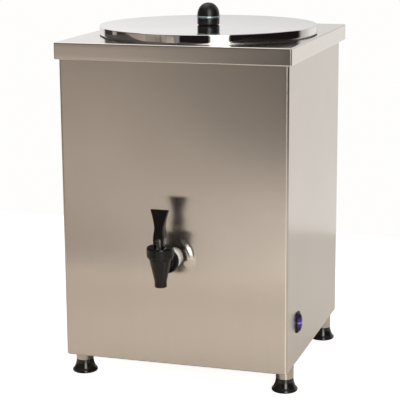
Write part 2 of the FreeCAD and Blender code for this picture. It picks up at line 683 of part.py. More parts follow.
turned("knob_washer", [(3.1, kt - ls - 1.2), (9, kt - ls - 1.2), (9, kt - ls - 0.02), (3.1, kt - ls - 0.02)], wx, wy)
turned("knob_screw", [
    (0, kt - ls - 3.6), (4.5, kt - ls - 3.6), (5, kt - ls - 3), (5, kt - ls - 1.2), (3.0, kt - ls - 1.2), (3.0, dome_z + 6.5), (0, dome_z + 6.5),
], wx, wy)

# ---------------------------------------------------------------- switch
# Origin on the side panel's outer face, at the middle of the switch.
b = part_body("switch_housing", hw, P.sw_y, P.sw_z)
sk = sketch(b, "YZ")
rect(sk, Q(0, "0"), Q(0, "0"), P.sw_w, P.sw_h)
pad(b, sk, P.sw_t)
rounded(b, 1.2, lambda m, e: near(m.x, P.sw_t) or abs(e.tangentAt(e.FirstParameter).x) > 0.99)
sk = sketch(b, "YZ", -13)
rect(sk, Q(0, "0"), Q(0, "0"), P.sw_w - 3.4, P.sw_h - 3.2)
pad(b, sk, 26, both=True)
sk = sketch(b, "YZ", P.sw_t - 7)
rect(sk, Q(0, "0"), Q(0, "0"), P.sw_w - 5.4, P.sw_h - 5.8)
cut(b, sk, 26)
sk = sketch(b, "XZ")
circle(sk, Q(-6, "-6"), Q(0, "0"), 1.56)
cut(b, sk, 30)

b = part_body("switch_rocker", hw - 6, P.sw_y, P.sw_z, FreeCAD.Rotation(V(0, 1, 0), -9))
sk = sketch(b, "XZ")
poly(sk, [(-3, -6), (1.5, -11.6), (6, -11.4), (9.8, -10.2), (9.0, -5.4), (8.6, 0), (9.0, 5.4), (9.8, 10.2), (6, 11.4), (1.5, 11.6), (-3, 6)])
pad(b, sk, P.sw_w - 6.0, both=True)
sk = sketch(b, "XZ")
circle(sk, Q(0, "0"), Q(0, "0"), 1.5)
pad(b, sk, P.sw_w - 4.0, both=True)

b = part_body("switch_boot", hw + P.sw_t, P.sw_y, P.sw_z)
sk = sketch(b, "YZ")
rect(sk, Q(0, "0"), Q(0, "0"), P.sw_w - 2, P.sw_h - 2)
pad(b, sk, 6.8)
rounded(b, 3.2, lambda m, e: abs(e.tangentAt(e.FirstParameter).x) > 0.99)
rounded(b, 2.6, lambda m, e: near(m.x, 6.8))
sk = sketch(b, "YZ")
rect(sk, Q(0, "0"), Q(0, "0"), P.sw_w - 4.6, P.sw_h - 4.8)
cut(b, sk, 11.8)

tabs = []
for i, (dy, dz) in enumerate(((-5, -7), (5, -7), (-5, 7), (5, 7))):
    tabs.append(prim("Box", (hw - 35, P.sw_y + dy - 0.4, P.sw_z + dz - 3.15), None, Length=9, Width=0.8, Height=6.3))
group("switch_terminals", tabs)

# ---------------------------------------------------------------- services
b = part_body("cable_gland", P.gland_x, hd, P.gland_z, REAR)
sk = sketch(b, "XY")
poly(sk, [(12.2 * math.cos(math.radians(60 * k)), 12.2 * math.sin(math.radians(60 * k))) for k in range(6)])
pad(b, sk, 5)
sk = sketch(b, "XZ")
poly(sk, [(0, -10), (9, -10), (9, 0), (10.4, 0), (10.4, 14), (9.4, 18), (6.5, 20), (0, 20)])
turn(b, sk)
sk = sketch(b, "XY")
circle(sk, Q(0, "0"), Q(0, "0"), 4.2)
cut(b, sk, 60)
b = part_body("gland_nut", P.gland_x, hd - P.rear_t, P.gland_z, FRONT)
sk = sketch(b, "XY")
poly(sk, [(12.6 * math.cos(math.radians(60 * k)), 12.6 * math.sin(math.radians(60 * k))) for k in range(6)])
circle(sk, Q(0, "0"), Q(0, "0"), Q(9.05, "9.05"))
pad(b, sk, 4.5)

# Drain of the water bath: a short pipe through the rear panel, closed by a hexagon cap.
turned("drain_pipe", [(5.6, 160.9), (7, 160.9), (7, 184), (5.6, 184)], wx, wy, P.drain_z, REAR)
b = part_body("drain_cap", wx, wy, P.drain_z, REAR)
sk = sketch(b, "XY", 175)
poly(sk, [(10.4 * math.cos(math.radians(60 * k)), 10.4 * math.sin(math.radians(60 * k))) for k in range(6)])
pad(b, sk, 12)
rounded(b, 1.2, lambda m, e: near(m.z, 187), "Chamfer")
sk = sketch(b, "XY", 175)
circle(sk, Q(0, "0"), Q(0, "0"), Q(7.05, "7.05"))
cut(b, sk, 18.2)

# Terminal block and earth stud on the base pan.
floor = P.base_z + P.pan_t
block = prim("Box", (70, 90, floor), None, Length=46, Width=20, Height=10)
upper = prim("Box", (70, 94, floor + 10), None, Length=46, Width=12, Height=8)
holes = [prim("Cylinder", (78 + 15 * k, 100, floor + 8), None, Radius=2.6, Height=12) for k in range(3)]
tb = minus(fuse(block, upper), *holes)
tb.Label = "terminal_block"
place(tb)
NODES.append(tb)
es = fuse(
    prim("Cylinder", (130, 60, floor), None, Radius=2, Height=16),
    hexagon(Q(130, "130"), Q(60, "60"), floor + 1, Q(4.6, "4.6"), Q(3.2, "3.2")),
    prim("Cylinder", (130, 60, floor), None, Radius=5, Height=1),
)
es.Label = "earth_stud"
place(es)
NODES.append(es)

# ---------------------------------------------------------------- checks and export
doc.recompute()
for o in doc.Objects:
    assert "Invalid" not in o.State and "Error" not in o.State, (o.Name, o.Label, o.State)
os.makedirs("parts", exist_ok=True)
for old in os.listdir("parts"):
    if old.endswith(".step"):
        os.remove(os.path.join("parts", old))
assert len({o.Label for o in NODES}) == len(NODES) <= 60
box = FreeCAD.BoundBox()
for o in NODES:
    s = o.Shape
    assert not s.isNull() and s.isValid() and s.Solids and s.Volume > 0, o.Label
    s.exportStep(os.path.join("parts", o.Label + ".step"))
    box.add(s.BoundBox)
    print("%-28s solids %2d  volume %12.1f" % (o.Label, len(s.Solids), s.Volume))
print("nodes", len(NODES), "box", [round(v, 2) for v in (box.XMin, box.XMax, box.YMin, box.YMax, box.ZMin, box.ZMax)])
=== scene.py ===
import json
import math

import bmesh
import bpy
from mathutils import Matrix, Vector, noise


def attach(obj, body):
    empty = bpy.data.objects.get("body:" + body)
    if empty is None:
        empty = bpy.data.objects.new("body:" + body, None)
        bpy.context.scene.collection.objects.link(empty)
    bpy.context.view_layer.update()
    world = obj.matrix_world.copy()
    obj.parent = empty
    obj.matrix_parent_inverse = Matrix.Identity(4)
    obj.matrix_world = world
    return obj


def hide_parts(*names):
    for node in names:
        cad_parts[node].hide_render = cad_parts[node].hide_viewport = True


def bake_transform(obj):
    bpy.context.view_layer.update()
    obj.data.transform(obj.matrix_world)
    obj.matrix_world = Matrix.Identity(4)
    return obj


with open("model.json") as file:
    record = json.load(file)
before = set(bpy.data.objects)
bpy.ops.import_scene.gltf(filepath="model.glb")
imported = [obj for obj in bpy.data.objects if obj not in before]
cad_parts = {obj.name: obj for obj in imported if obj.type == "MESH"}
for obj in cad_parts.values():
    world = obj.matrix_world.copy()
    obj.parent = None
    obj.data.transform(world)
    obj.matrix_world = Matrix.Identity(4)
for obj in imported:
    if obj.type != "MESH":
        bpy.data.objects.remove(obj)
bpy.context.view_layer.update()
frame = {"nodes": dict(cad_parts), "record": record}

# Lengths below are millimetres in the cabinet's own frame: X and Y from the middle of the casing's plan, Z from the
# surface that the feet stand on.  PART carries them into the part's frame, in metres.
MM = 0.001
PART = Matrix.Translation((-1.3 * MM, 18.55 * MM, 0.0)) @ Matrix.Scale(MM, 4)
UP = Matrix.Identity(4)
FRONT = Matrix(((1, 0, 0, 0), (0, 0, -1, 0), (0, 1, 0, 0), (0, 0, 0, 1)))    # local Z looks out of the front, -Y
WELL = (3.8, 2.0)              # axis of the round opening
TAP_X, TAP_Z = -4.5, 204.2     # shank axis
TAP_Y = -172.5 - 44.0          # barrel axis
PIN_Z = TAP_Z + 35.7
SW_Y, SW_Z = -107.5, 101.0
HW, HD, BASE, TOP = 175.0, 172.5, 38.5, 521.0   # casing: half width, half depth, lower and upper edge
FEET = {"front_left": (-161.6, -131.0), "front_right": (161.6, -131.0), "rear_left": (-161.6, 131.7), "rear_right": (161.6, 131.7)}


# ------------------------------------------------------------------ materials
class Tree:
    """A node tree with short calls to build it."""

    def __init__(self, tree):
        self.t, self.x = tree, 0

    def node(self, kind, inputs=None, **props):
        n = self.t.nodes.new(kind)
        self.x -= 40
        n.location = (self.x, self.x % 400)
        for k, v in props.items():
            setattr(n, k, v)
        for k, v in (inputs or {}).items():
            self.put(n.inputs[k], v)
        return n

    def put(self, socket, v):
        if isinstance(v, bpy.types.NodeSocket):
            self.t.links.new(v, socket)
        elif isinstance(v, bpy.types.Node):
            self.t.links.new(v.outputs[0], socket)
        else:
            socket.default_value = v

    def math(self, op, a, b=0.0, c=0.0, clamp=False):
        return self.node("ShaderNodeMath", {0: a, 1: b, 2: c}, operation=op, use_clamp=clamp).outputs[0]

    def spread(self, v, a, b, lo=0.0, hi=1.0, smooth=False):
        n = self.node("ShaderNodeMapRange", {0: v, 1: a, 2: b, 3: lo, 4: hi})
        n.clamp = True
        if smooth:
            n.interpolation_type = "SMOOTHSTEP"
        return n.outputs[0]

    def coords(self, scale=(1, 1, 1), turn=(0, 0, 0)):
        c = self.node("ShaderNodeTexCoord")
        return self.node("ShaderNodeMapping", {"Vector": c.outputs["Object"], "Scale": scale, "Rotation": turn}).outputs[0]

    def noise(self, vector, scale, detail=3.0, rough=0.5, distort=0.0):
        return self.node("ShaderNodeTexNoise", {"Vector": vector, "Scale": scale, "Detail": detail, "Roughness": rough, "Distortion": distort}).outputs[0]

    def ramp(self, v, *stops, mode="LINEAR"):
        n = self.node("ShaderNodeValToRGB", {0: v})
        n.color_ramp.interpolation = mode
        e = n.color_ramp.elements
        while len(e) > 1:
            e.remove(e[-1])
        for i, (p, c) in enumerate(stops):
            s = e[0] if i == 0 else e.new(p)
            s.position = p
            s.color = (*c, 1) if len(c) == 3 else c
        return n.outputs[0]

    def mix(self, f, a, b, kind="MIX"):
        n = self.node("ShaderNodeMix", data_type="RGBA", blend_type=kind)
        self.put(n.inputs[0], f)
        self.put(n.inputs[6], a)
        self.put(n.inputs[7], b)
        return n.outputs[2]

    def bump(self, height, strength, distance, normal=None):
        n = self.node("ShaderNodeBump", {"Height": height, "Strength": strength, "Distance": distance})
        if normal is not None:
            self.put(n.inputs["Normal"], normal)
        return n.outputs[0]


def finish_of(name, **sockets):
    """A material with one Principled shader; the plain numbers go straight onto its sockets."""
    m = bpy.data.materials.new(name)
    m.use_nodes = True
    t = Tree(m.node_tree)
    p = m.node_tree.nodes["Principled BSDF"]
    for k, v in sockets.items():
        p.inputs[k.replace("_", " ")].default_value = v
    return m, t, p


def grey(v):
    return (v, v, v, 1.0)


def brushed(name, tint, rough, grain, aniso=0.85, around="UV", depth=1.0):
    """Brushed stainless.  grain gives the stretch of the scratches, long where the number is small."""
    m, t, p = finish_of(name, Metallic=1.0, Anisotropic=aniso)
    fine = t.noise(t.coords(grain), 1.0, 2.0, 0.6)
    coarse = t.noise(t.coords(tuple(g * 0.23 for g in grain)), 1.0, 2.0, 0.5)
    cloud = t.noise(t.coords(), 9.0, 3.0, 0.55)
    streak = t.math("ADD", t.math("MULTIPLY", fine, 0.6), t.math("MULTIPLY", coarse, 0.4))
    r, g, b = tint
    col = t.mix(t.spread(streak, 0.3, 0.7), (r * 0.955, g * 0.955, b * 0.955, 1), (min(r * 1.045, 1), min(g * 1.045, 1), min(b * 1.045, 1), 1))
    t.put(p.inputs["Base Color"], t.mix(t.spread(cloud, 0.35, 0.65, 0.0, 0.10), col, (r * 0.9, g * 0.885, b * 0.87, 1)))
    rr = t.math("ADD", t.spread(streak, 0.3, 0.7, rough - 0.018, rough + 0.018), t.spread(cloud, 0.3, 0.7, -0.008, 0.012))
    t.put(p.inputs["Roughness"], rr)
    t.put(p.inputs["Normal"], t.bump(streak, 0.05 * depth, 0.0002))
    if around == "UV":
        tan = t.node("ShaderNodeTangent", direction_type="UV_MAP", uv_map="sheet")
    else:
        tan = t.node("ShaderNodeTangent", direction_type="RADIAL", axis=around)
    t.put(p.inputs["Tangent"], tan.outputs[0])
    return m


def polished(name, tint, rough, swirl=0.0, radial=None):
    """Polished metal with faint smears and, where asked, a fine speckled bump."""
    m, t, p = finish_of(name, Metallic=1.0)
    smear = t.noise(t.coords(), 22.0, 4.0, 0.6, 0.4)
    specks = t.noise(t.coords(), 900.0, 2.0, 0.5)
    r, g, b = tint
    t.put(p.inputs["Base Color"], t.mix(t.spread(smear, 0.35, 0.7), (r, g, b, 1), (r * 0.97, g * 0.97, b * 0.965, 1)))
    t.put(p.inputs["Roughness"], t.math("ADD", t.spread(smear, 0.4, 0.75, rough, rough * 1.6 + 0.01), t.spread(specks, 0.6, 0.8, 0.0, 0.01)))
    if swirl:
        t.put(p.inputs["Normal"], t.bump(specks, swirl, 0.0001))
    return m


def moulded(name, tint, rough, grain=700.0, depth=0.10, spec=0.5, sheen_dust=0.05):
    """Moulded plastic: fine spark-eroded texture, slightly uneven gloss, a trace of dust."""
    m, t, p = finish_of(name)
    p.inputs["Specular IOR Level"].default_value = spec
    fine = t.noise(t.coords(), grain, 2.0, 0.6)
    flow = t.noise(t.coords(), 55.0, 3.0, 0.5, 0.6)
    r, g, b = tint
    dust = t.spread(t.noise(t.coords(), 160.0, 5.0, 0.65), 0.52, 0.8, 0.0, sheen_dust)
    col = t.mix(t.spread(flow, 0.3, 0.7), (r * 0.88, g * 0.88, b * 0.88, 1), (r * 1.12, g * 1.12, b * 1.12, 1))
    t.put(p.inputs["Base Color"], t.mix(dust, col, (0.32, 0.30, 0.28, 1)))
    t.put(p.inputs["Roughness"], t.math("ADD", t.spread(flow, 0.3, 0.7, rough - 0.03, rough + 0.04), t.spread(fine, 0.3, 0.7, -0.03, 0.03)))
    t.put(p.inputs["Normal"], t.bump(fine, depth, 0.00015))
    return m


STEEL = (0.625, 0.575, 0.525)
MATS = {
    "brushed_steel": brushed("brushed_steel", STEEL, 0.205, (4200, 4200, 14), 0.62, "Z"),
    "cover_steel": brushed("cover_steel", (0.71, 0.665, 0.62), 0.16, (3800, 14, 3800), 0.6, "UV", 0.6),
    "polished_steel": polished("polished_steel", (0.80, 0.785, 0.775), 0.03),
    "plain_steel": brushed("plain_steel", (0.60, 0.575, 0.55), 0.32, (900, 900, 500), 0.0, "Z", 1.6),
    "tube_steel": brushed("tube_steel", (0.52, 0.48, 0.43), 0.18, (2600, 2600, 40), 0.5, "Z", 1.0),
    "band_steel": polished("band_steel", (0.50, 0.60, 0.68), 0.38, 0.1),
    "fastener_steel": polished("fastener_steel", (0.66, 0.655, 0.64), 0.22, 0.2),
    "tap_black": moulded("tap_black", (0.0065, 0.0056, 0.0051), 0.22, 700.0, 0.05, 0.28, 0.008),
    "knob_black": moulded("knob_black", (0.0075, 0.0073, 0.007), 0.36, 700.0, 0.05, 0.55, 0.006),
    "pad_black": moulded("pad_black", (0.010, 0.0095, 0.009), 0.17, 700.0, 0.05, 0.6, 0.010),
    "white_silicone": moulded("white_silicone", (0.95, 0.95, 0.94), 0.42, 500.0, 0.05, 0.5, 0.0),
    "seal_rubber": moulded("seal_rubber", (0.03, 0.03, 0.03), 0.6),
    "switch_black": moulded("switch_black", (0.0055, 0.0045, 0.0075), 0.34, 700.0, 0.08, 0.22, 0.004),
    "stem_steel": polished("stem_steel", (0.84, 0.82, 0.79), 0.36),
    "gland_black": moulded("gland_black", (0.025, 0.025, 0.025), 0.48),
    "ceramic_white": moulded("ceramic_white", (0.80, 0.78, 0.72), 0.45, 400.0, 0.1, 0.5, 0.08),
    "brass": polished("brass", (0.72, 0.54, 0.26), 0.24, 0.3),
    "element_sheath": brushed("element_sheath", (0.30, 0.26, 0.24), 0.42, (700, 700, 700), 0.0, "Z", 2.0),
}
m, t, p = finish_of("insulation", Roughness=0.95)
fibre = t.noise(t.coords((1, 1, 0.35)), 420.0, 6.0, 0.75, 1.5)
t.put(p.inputs["Base Color"], t.ramp(fibre, (0.3, (0.46, 0.41, 0.27)), (0.7, (0.80, 0.76, 0.60))))
t.put(p.inputs["Normal"], t.bump(fibre, 0.9, 0.0015))
MATS["insulation"] = m
m, t, p = finish_of("rocker_violet", Roughness=0.28)
mottle = t.noise(t.coords(), 240.0, 2.0, 0.5)
t.put(p.inputs["Base Color"], t.ramp(mottle, (0.3, (0.010, 0.005, 0.045)), (0.7, (0.018, 0.010, 0.075))))
rocker = frame["nodes"]["switch_rocker"]
# the violet glow is the switch's own lamp; the near-white spot round this point, where it is strongest, is a painted
# glint
glint_and_glow_centre = rocker.matrix_world.inverted() @ (PART @ Vector((HW + 2.5, SW_Y, SW_Z + 1.5)))
far = t.node("ShaderNodeVectorMath", {0: t.node("ShaderNodeTexCoord").outputs["Object"], 1: tuple(glint_and_glow_centre)}, operation="DISTANCE").outputs["Value"]
t.put(p.inputs["Emission Color"], t.ramp(t.spread(far, 0.0, 0.012), (0.0, (0.75, 0.70, 1.0)), (0.16, (0.45, 0.36, 1.0)), (0.30, (0.05, 0.025, 0.32)), (0.75, (0.016, 0.008, 0.12)), (1.0, (0.004, 0.002, 0.02))))
p.inputs["Emission Strength"].default_value = 2.2
MATS["rocker_violet"] = m
m, t, p = finish_of("boot_clear", Roughness=0.16, IOR=1.33)
p.inputs["Transmission Weight"].default_value = 0.22
cloud = t.noise(t.coords(), 300.0, 3.0, 0.5)
away = t.node("ShaderNodeSeparateXYZ", {0: t.node("ShaderNodeTexCoord").outputs["Object"]}).outputs[2]
mid = t.math("ABSOLUTE", t.math("SUBTRACT", away, (PART @ Vector((0, 0, SW_Z + 0.4))).z))
tint = t.ramp(t.spread(mid, 0.0, 0.016), (0.0, (0.055, 0.030, 0.17)), (0.42, (0.036, 0.018, 0.115)), (0.58, (0.018, 0.012, 0.026)), (1.0, (0.014, 0.010, 0.010)))
t.put(p.inputs["Base Color"], t.mix(t.spread(cloud, 0.3, 0.7, 0.0, 0.10), tint, (0.12, 0.09, 0.24, 1)))
t.put(p.inputs["Normal"], t.bump(cloud, 0.08, 0.0003))
# painted light: a thin near-white streak across the boot at mid-height is a painted glint, and the violet glow beside
# it paints the lit rocker's light onto the clear boot
t.put(p.inputs["Emission Color"], t.ramp(t.spread(mid, 0.0, 0.012), (0.0, (0.50, 0.46, 0.72)), (0.07, (0.22, 0.16, 0.46)), (0.16, (0.040, 0.016, 0.150)), (0.60, (0.020, 0.008, 0.085)), (0.76, (0.0, 0.0, 0.0)), (1.0, (0.0, 0.0, 0.0))))
p.inputs["Emission Strength"].default_value = 0.55
MATS["boot_clear"] = m

# painted light: faces of the cover that point up get a base colour 1.17 times brighter than the rim's
m = MATS["cover_steel"]
t = Tree(m.node_tree)
shader = next(n for n in m.node_tree.nodes if n.type == "BSDF_PRINCIPLED")
plain = shader.inputs["Base Color"].links[0].from_socket
top_painted_light = t.spread(t.node("ShaderNodeSeparateXYZ", {0: t.node("ShaderNodeNewGeometry").outputs["Normal"]}).outputs[2], 0.8, 0.95)
t.put(shader.inputs["Base Color"], t.mix(top_painted_light, plain, t.mix(1.0, plain, grey(1.17), "MULTIPLY")))

SLOT_OF = {s["node"]: s["material_slot"] for s in frame["record"]["subparts"]}
for node, o in frame["nodes"].items():
    for s in o.material_slots:
        s.material = MATS["stem_steel" if node == "tap_stem" else SLOT_OF[node]]

# ------------------------------------------------------------------ floor, light, camera
bm = bmesh.new()
corner = []
for cx, cy, a0 in ((0.75, 0.65, 0), (-0.75, 0.65, 90), (-0.75, -0.56, 180), (0.75, -0.56, 270)):
    for k in range(13):
        a = math.radians(a0 + 7.5 * k)
        corner.append(bm.verts.new((cx + 0.22 * math.cos(a), cy + 0.22 * math.sin(a), -0.0004)))
bm.faces.new(corner)
me = bpy.data.meshes.new("floor")
bm.to_mesh(me)
floor = bpy.data.objects.new("floor", me)
bpy.context.scene.collection.objects.link(floor)
m, t, p = finish_of("floor_white", Roughness=0.9)
p.inputs["Base Color"].default_value = (0.80, 0.79, 0.775, 1)
p.inputs["Specular IOR Level"].default_value = 0.1
p.inputs["Emission Color"].default_value = (1.0, 0.99, 0.975, 1)
p.inputs["Emission Strength"].default_value = 0.90
# painted light: the paper shows evenly white to the camera, while what it throws back onto the object is a painted
# glow, a little warmer, most of it behind and to the right, with painted shade on the strip just in front of the casing
where = t.node("ShaderNodeSeparateXYZ", {0: t.node("ShaderNodeTexCoord").outputs["Object"]})
glow = t.mix(t.spread(where.outputs[0], -0.45, 0.10), (0.365, 0.31, 0.255, 1), (0.505, 0.46, 0.40, 1))
glow = t.mix(t.spread(where.outputs[1], -0.38, -0.26), glow, t.mix(1.0, glow, grey(0.85), "MULTIPLY"))
glow = t.mix(t.spread(where.outputs[1], -0.15, 0.25), glow, (0.385, 0.38, 0.37, 1))
# painted light: a bright streak of lamp light painted into the paper's glow, leading away from the front right foot
turn = t.math("ARCTAN2", t.math("SUBTRACT", where.outputs[0], 0.163), t.math("MULTIPLY", t.math("ADD", where.outputs[1], 0.115), -1.0))
painted_lamp_streak = t.math("MULTIPLY", t.spread(turn, math.radians(17), math.radians(23)), t.spread(turn, math.radians(33), math.radians(39), 1.0, 0.0))
painted_lamp_streak = t.math("MULTIPLY", painted_lamp_streak, t.spread(where.outputs[1], -0.14, -0.125, 1.0, 0.0))
glow = t.mix(painted_lamp_streak, glow, (1.45, 1.37, 1.26, 1))
# painted shadow: under the casing the paper's glow and its diffuse colour are made much darker, for every ray but the
# camera's
painted_shadow = t.math("MULTIPLY", t.spread(where.outputs[1], -0.178, -0.150), t.spread(where.outputs[1], 0.185, 0.215, 1.0, 0.0))
painted_shadow = t.math("MULTIPLY", painted_shadow, t.spread(t.math("ABSOLUTE", where.outputs[0]), 0.160, 0.186, 1.0, 0.0))
glow = t.mix(t.math("MULTIPLY", painted_shadow, 0.9), glow, (0.02, 0.018, 0.016, 1))
paper = t.node("ShaderNodeAddShader", {0: t.node("ShaderNodeBsdfDiffuse", {0: t.mix(t.math("MULTIPLY", painted_shadow, 0.8), (0.62, 0.575, 0.525, 1), (0.05, 0.045, 0.04, 1))}), 1: t.node("ShaderNodeEmission", {0: glow})})
both = t.node("ShaderNodeMixShader", {0: t.node("ShaderNodeLightPath").outputs["Is Camera Ray"], 1: paper, 2: p})
t.put(m.node_tree.nodes["Material Output"].inputs[0], both)
me.materials.append(m)

world = bpy.data.worlds.new("studio")
bpy.context.scene.world = world
world.use_nodes = True
wt = Tree(world.node_tree)
for n in list(world.node_tree.nodes):
    world.node_tree.nodes.remove(n)
direction = wt.node("ShaderNodeTexCoord").outputs["Generated"]
xyz = wt.node("ShaderNodeSeparateXYZ", {0: direction})
# azimuth: 0 straight out of the front, +0.25 to the right of it (+X), in turns
az = wt.math("DIVIDE", wt.math("ARCTAN2", xyz.outputs[0], wt.math("MULTIPLY", xyz.outputs[1], -1.0)), math.tau)
az = wt.math("ADD", az, 0.5)
el = wt.math("MULTIPLY", wt.math("ARCSINE", xyz.outputs[2]), 180 / math.pi)


def turn_of(deg):
    return deg / 360 + 0.5


# what stands round the set, seen a little below eye level: dark room, a tall narrow lamp and the pale backdrop
LAMP = (7.0, 6.9, 6.75)
eye = wt.ramp(
    az,
    (turn_of(-180), (0.90, 0.88, 0.86)), (turn_of(-126), (0.86, 0.82, 0.78)), (turn_of(-121), (0.05, 0.042, 0.036)),
    (turn_of(-104), (0.05, 0.04, 0.034)), (turn_of(-101), (0.45, 0.40, 0.36)), (turn_of(-96), (0.40, 0.36, 0.32)), (turn_of(-93), (0.05, 0.04, 0.034)),
    (turn_of(-80), (0.06, 0.05, 0.042)), (turn_of(-74), (0.33, 0.28, 0.235)), (turn_of(-42), (0.46, 0.39, 0.33)), (turn_of(-21), (0.36, 0.305, 0.26)),
    (turn_of(-15), (0.012, 0.010, 0.010)), (turn_of(17), (0.012, 0.010, 0.010)), (turn_of(20), (0.80, 0.78, 0.76)), (turn_of(36), (0.80, 0.78, 0.76)),
    (turn_of(39), (0.012, 0.008, 0.009)), (turn_of(125), (0.012, 0.008, 0.009)), (turn_of(131), (0.55, 0.52, 0.50)), (turn_of(150), (0.88, 0.86, 0.83)),
    (turn_of(180), (0.92, 0.90, 0.88)),
)
# the ground beyond the white floor
ground = wt.ramp(
    az,
    (turn_of(-180), (1.0, 0.98, 0.96)), (turn_of(-120), (0.8, 0.76, 0.72)), (turn_of(-60), (0.42, 0.37, 0.32)), (turn_of(-26), (0.46, 0.41, 0.36)),
    (turn_of(-12), (0.95, 0.88, 0.80)), (turn_of(4), (1.15, 1.08, 1.0)), (turn_of(19), (1.15, 1.08, 1.0)), (turn_of(22), (1.25, 1.20, 1.14)), (turn_of(36), (1.25, 1.20, 1.14)), (turn_of(40), (1.1, 1.04, 0.97)), (turn_of(110), (0.80, 0.77, 0.73)), (turn_of(140), (0.98, 0.955, 0.93)),
    (turn_of(180), (0.96, 0.935, 0.91)),
)
# the room above eye level
high = wt.ramp(
    az,
    (turn_of(-180), (0.80, 0.785, 0.79)), (turn_of(-168), (0.82, 0.805, 0.81)), (turn_of(-158.5), (1.0, 0.985, 0.985)), (turn_of(-148), (1.1, 1.09, 1.08)),
    (turn_of(-127), (1.1, 1.09, 1.08)), (turn_of(-121), (0.10, 0.09, 0.085)), (turn_of(-60), (0.08, 0.072, 0.066)), (turn_of(-55), (0.20, 0.18, 0.16)),
    (turn_of(-40), (0.24, 0.21, 0.185)), (turn_of(-21), (0.18, 0.16, 0.145)), (turn_of(-15), (0.015, 0.014, 0.013)), (turn_of(17.5), (0.015, 0.014, 0.013)),
    (turn_of(19.5), LAMP), (turn_of(37), LAMP), (turn_of(39), (0.014, 0.012, 0.012)), (turn_of(122), (0.014, 0.012, 0.012)),
    (turn_of(131), (0.85, 0.84, 0.84)), (turn_of(180), (0.80, 0.785, 0.79)),
)
# in front, from the edge of the floor up to the dark room: two columns, left and right of the way the casing looks
def height(deg):
    return (deg + 25) / 25


low = wt.spread(el, -25.0, 0.0)
front_left = wt.ramp(
    low, (height(-16.5), (0.06, 0.053, 0.046)), (height(-14.8), (0.06, 0.053, 0.046)), (height(-14.0), (0.38, 0.34, 0.30)), (height(-12.6), (0.75, 0.673, 0.596)),
    (height(-10), (0.65, 0.58, 0.513)), (height(-7), (0.51, 0.45, 0.395)), (height(-5), (0.50, 0.44, 0.385)),
)
front_right = wt.ramp(
    low, (height(-16.5), (1.10, 1.02, 0.93)), (height(-14.2), (1.25, 1.155, 1.05)), (height(-13.2), (1.50, 1.38, 1.26)), (height(-12.3), (0.90, 0.81, 0.72)),
    (height(-11.5), (0.10, 0.091, 0.082)), (height(-10.4), (0.006, 0.0057, 0.0054)), (height(-7), (0.012, 0.011, 0.01)), (height(-5), (0.012, 0.011, 0.01)),
)
front_left = wt.mix(wt.spread(az, turn_of(-23.5), turn_of(-20.0)), front_left, wt.mix(1.0, front_left, grey(1.22), "MULTIPLY"))
upper_left = wt.mix(wt.spread(az, turn_of(-33), turn_of(-26.5)), wt.mix(1.0, front_left, grey(0.25), "MULTIPLY"), wt.mix(1.0, front_left, grey(1.17), "MULTIPLY"))
front_left = wt.mix(wt.spread(el, -12.8, -11.2), front_left, upper_left)
front_low = wt.mix(wt.spread(az, turn_of(-19.8), turn_of(-17.0)), front_left, front_right)
in_front = wt.math("MULTIPLY", wt.spread(az, turn_of(-50), turn_of(-36)), wt.spread(az, turn_of(14), turn_of(19), 1.0, 0.0))
in_front = wt.math("MULTIPLY", in_front, wt.spread(el, -6.6, -5.4, 1.0, 0.0))
surround = wt.mix(wt.spread(el, -13.5, -9.5, smooth=True), ground, eye)
surround = wt.mix(in_front, surround, front_low)
rim_side = wt.math("MULTIPLY", wt.spread(az, turn_of(-18.8), turn_of(-16.8)), wt.spread(az, turn_of(-13.8), turn_of(-12.4), 1.0, 0.0))
surround = wt.mix(wt.math("MULTIPLY", rim_side, wt.spread(el, -7.8, -6.9)), surround, (0.26, 0.245, 0.23, 1))
lamp_side = wt.math("MULTIPLY", wt.spread(az, turn_of(18.5), turn_of(21)), wt.spread(az, turn_of(35.5), turn_of(38), 1.0, 0.0))
surround = wt.mix(wt.math("MULTIPLY", lamp_side, wt.spread(el, -7.0, -6.2)), surround, (2.6, 2.55, 2.5, 1))
surround = wt.mix(wt.spread(el, -3.0, 7.0, smooth=True), surround, high)


def climb(deg):
    return (deg + 2) / 16


# the backdrop has a horizon, which the lid picks up as a soft band
band = wt.ramp(
    wt.spread(el, -2.0, 14.0), (0.0, grey(1.0)), (climb(1.0), grey(0.84)), (climb(3.0), grey(0.64)), (climb(3.8), grey(0.68)), (climb(4.5), grey(0.98)),
    (climb(5.3), grey(0.92)), (climb(7.2), grey(0.82)), (climb(10.0), grey(0.92)), (1.0, grey(1.0)),
)
behind = wt.spread(wt.math("ABSOLUTE", wt.math("SUBTRACT", az, 0.5)), 0.355, 0.375)
surround = wt.mix(behind, surround, wt.mix(1.0, surround, band, "MULTIPLY"))
surround = wt.mix(wt.spread(el, 28.0, 50.0, smooth=True), surround, (0.30, 0.29, 0.28, 1))
bars = wt.ramp(
    wt.spread(az, turn_of(-56), turn_of(-20)), (0.0, grey(1.0)), (0.02, grey(1.02)), (0.12, grey(1.02)), (0.15, grey(0.74)), (0.20, grey(0.84)), (0.52, grey(0.82)), (0.56, grey(1.02)),
    (0.62, grey(0.62)), (0.67, grey(1.0)), (0.75, grey(0.98)), (0.79, grey(0.70)), (0.83, grey(0.94)), (1.0, grey(0.9)),
)
surround = wt.mix(wt.math("MULTIPLY", wt.spread(el, -8.5, -7.5), wt.spread(az, turn_of(-22), turn_of(-20), 1.0, 0.0)), surround, wt.mix(1.0, surround, bars, "MULTIPLY"))
background = (0.99, 0.985, 0.97, 1)
seen = wt.node("ShaderNodeLightPath").outputs["Is Camera Ray"]
wt.node("ShaderNodeOutputWorld", {0: wt.node("ShaderNodeBackground", {0: wt.mix(seen, surround, background), 1: 1.0})})


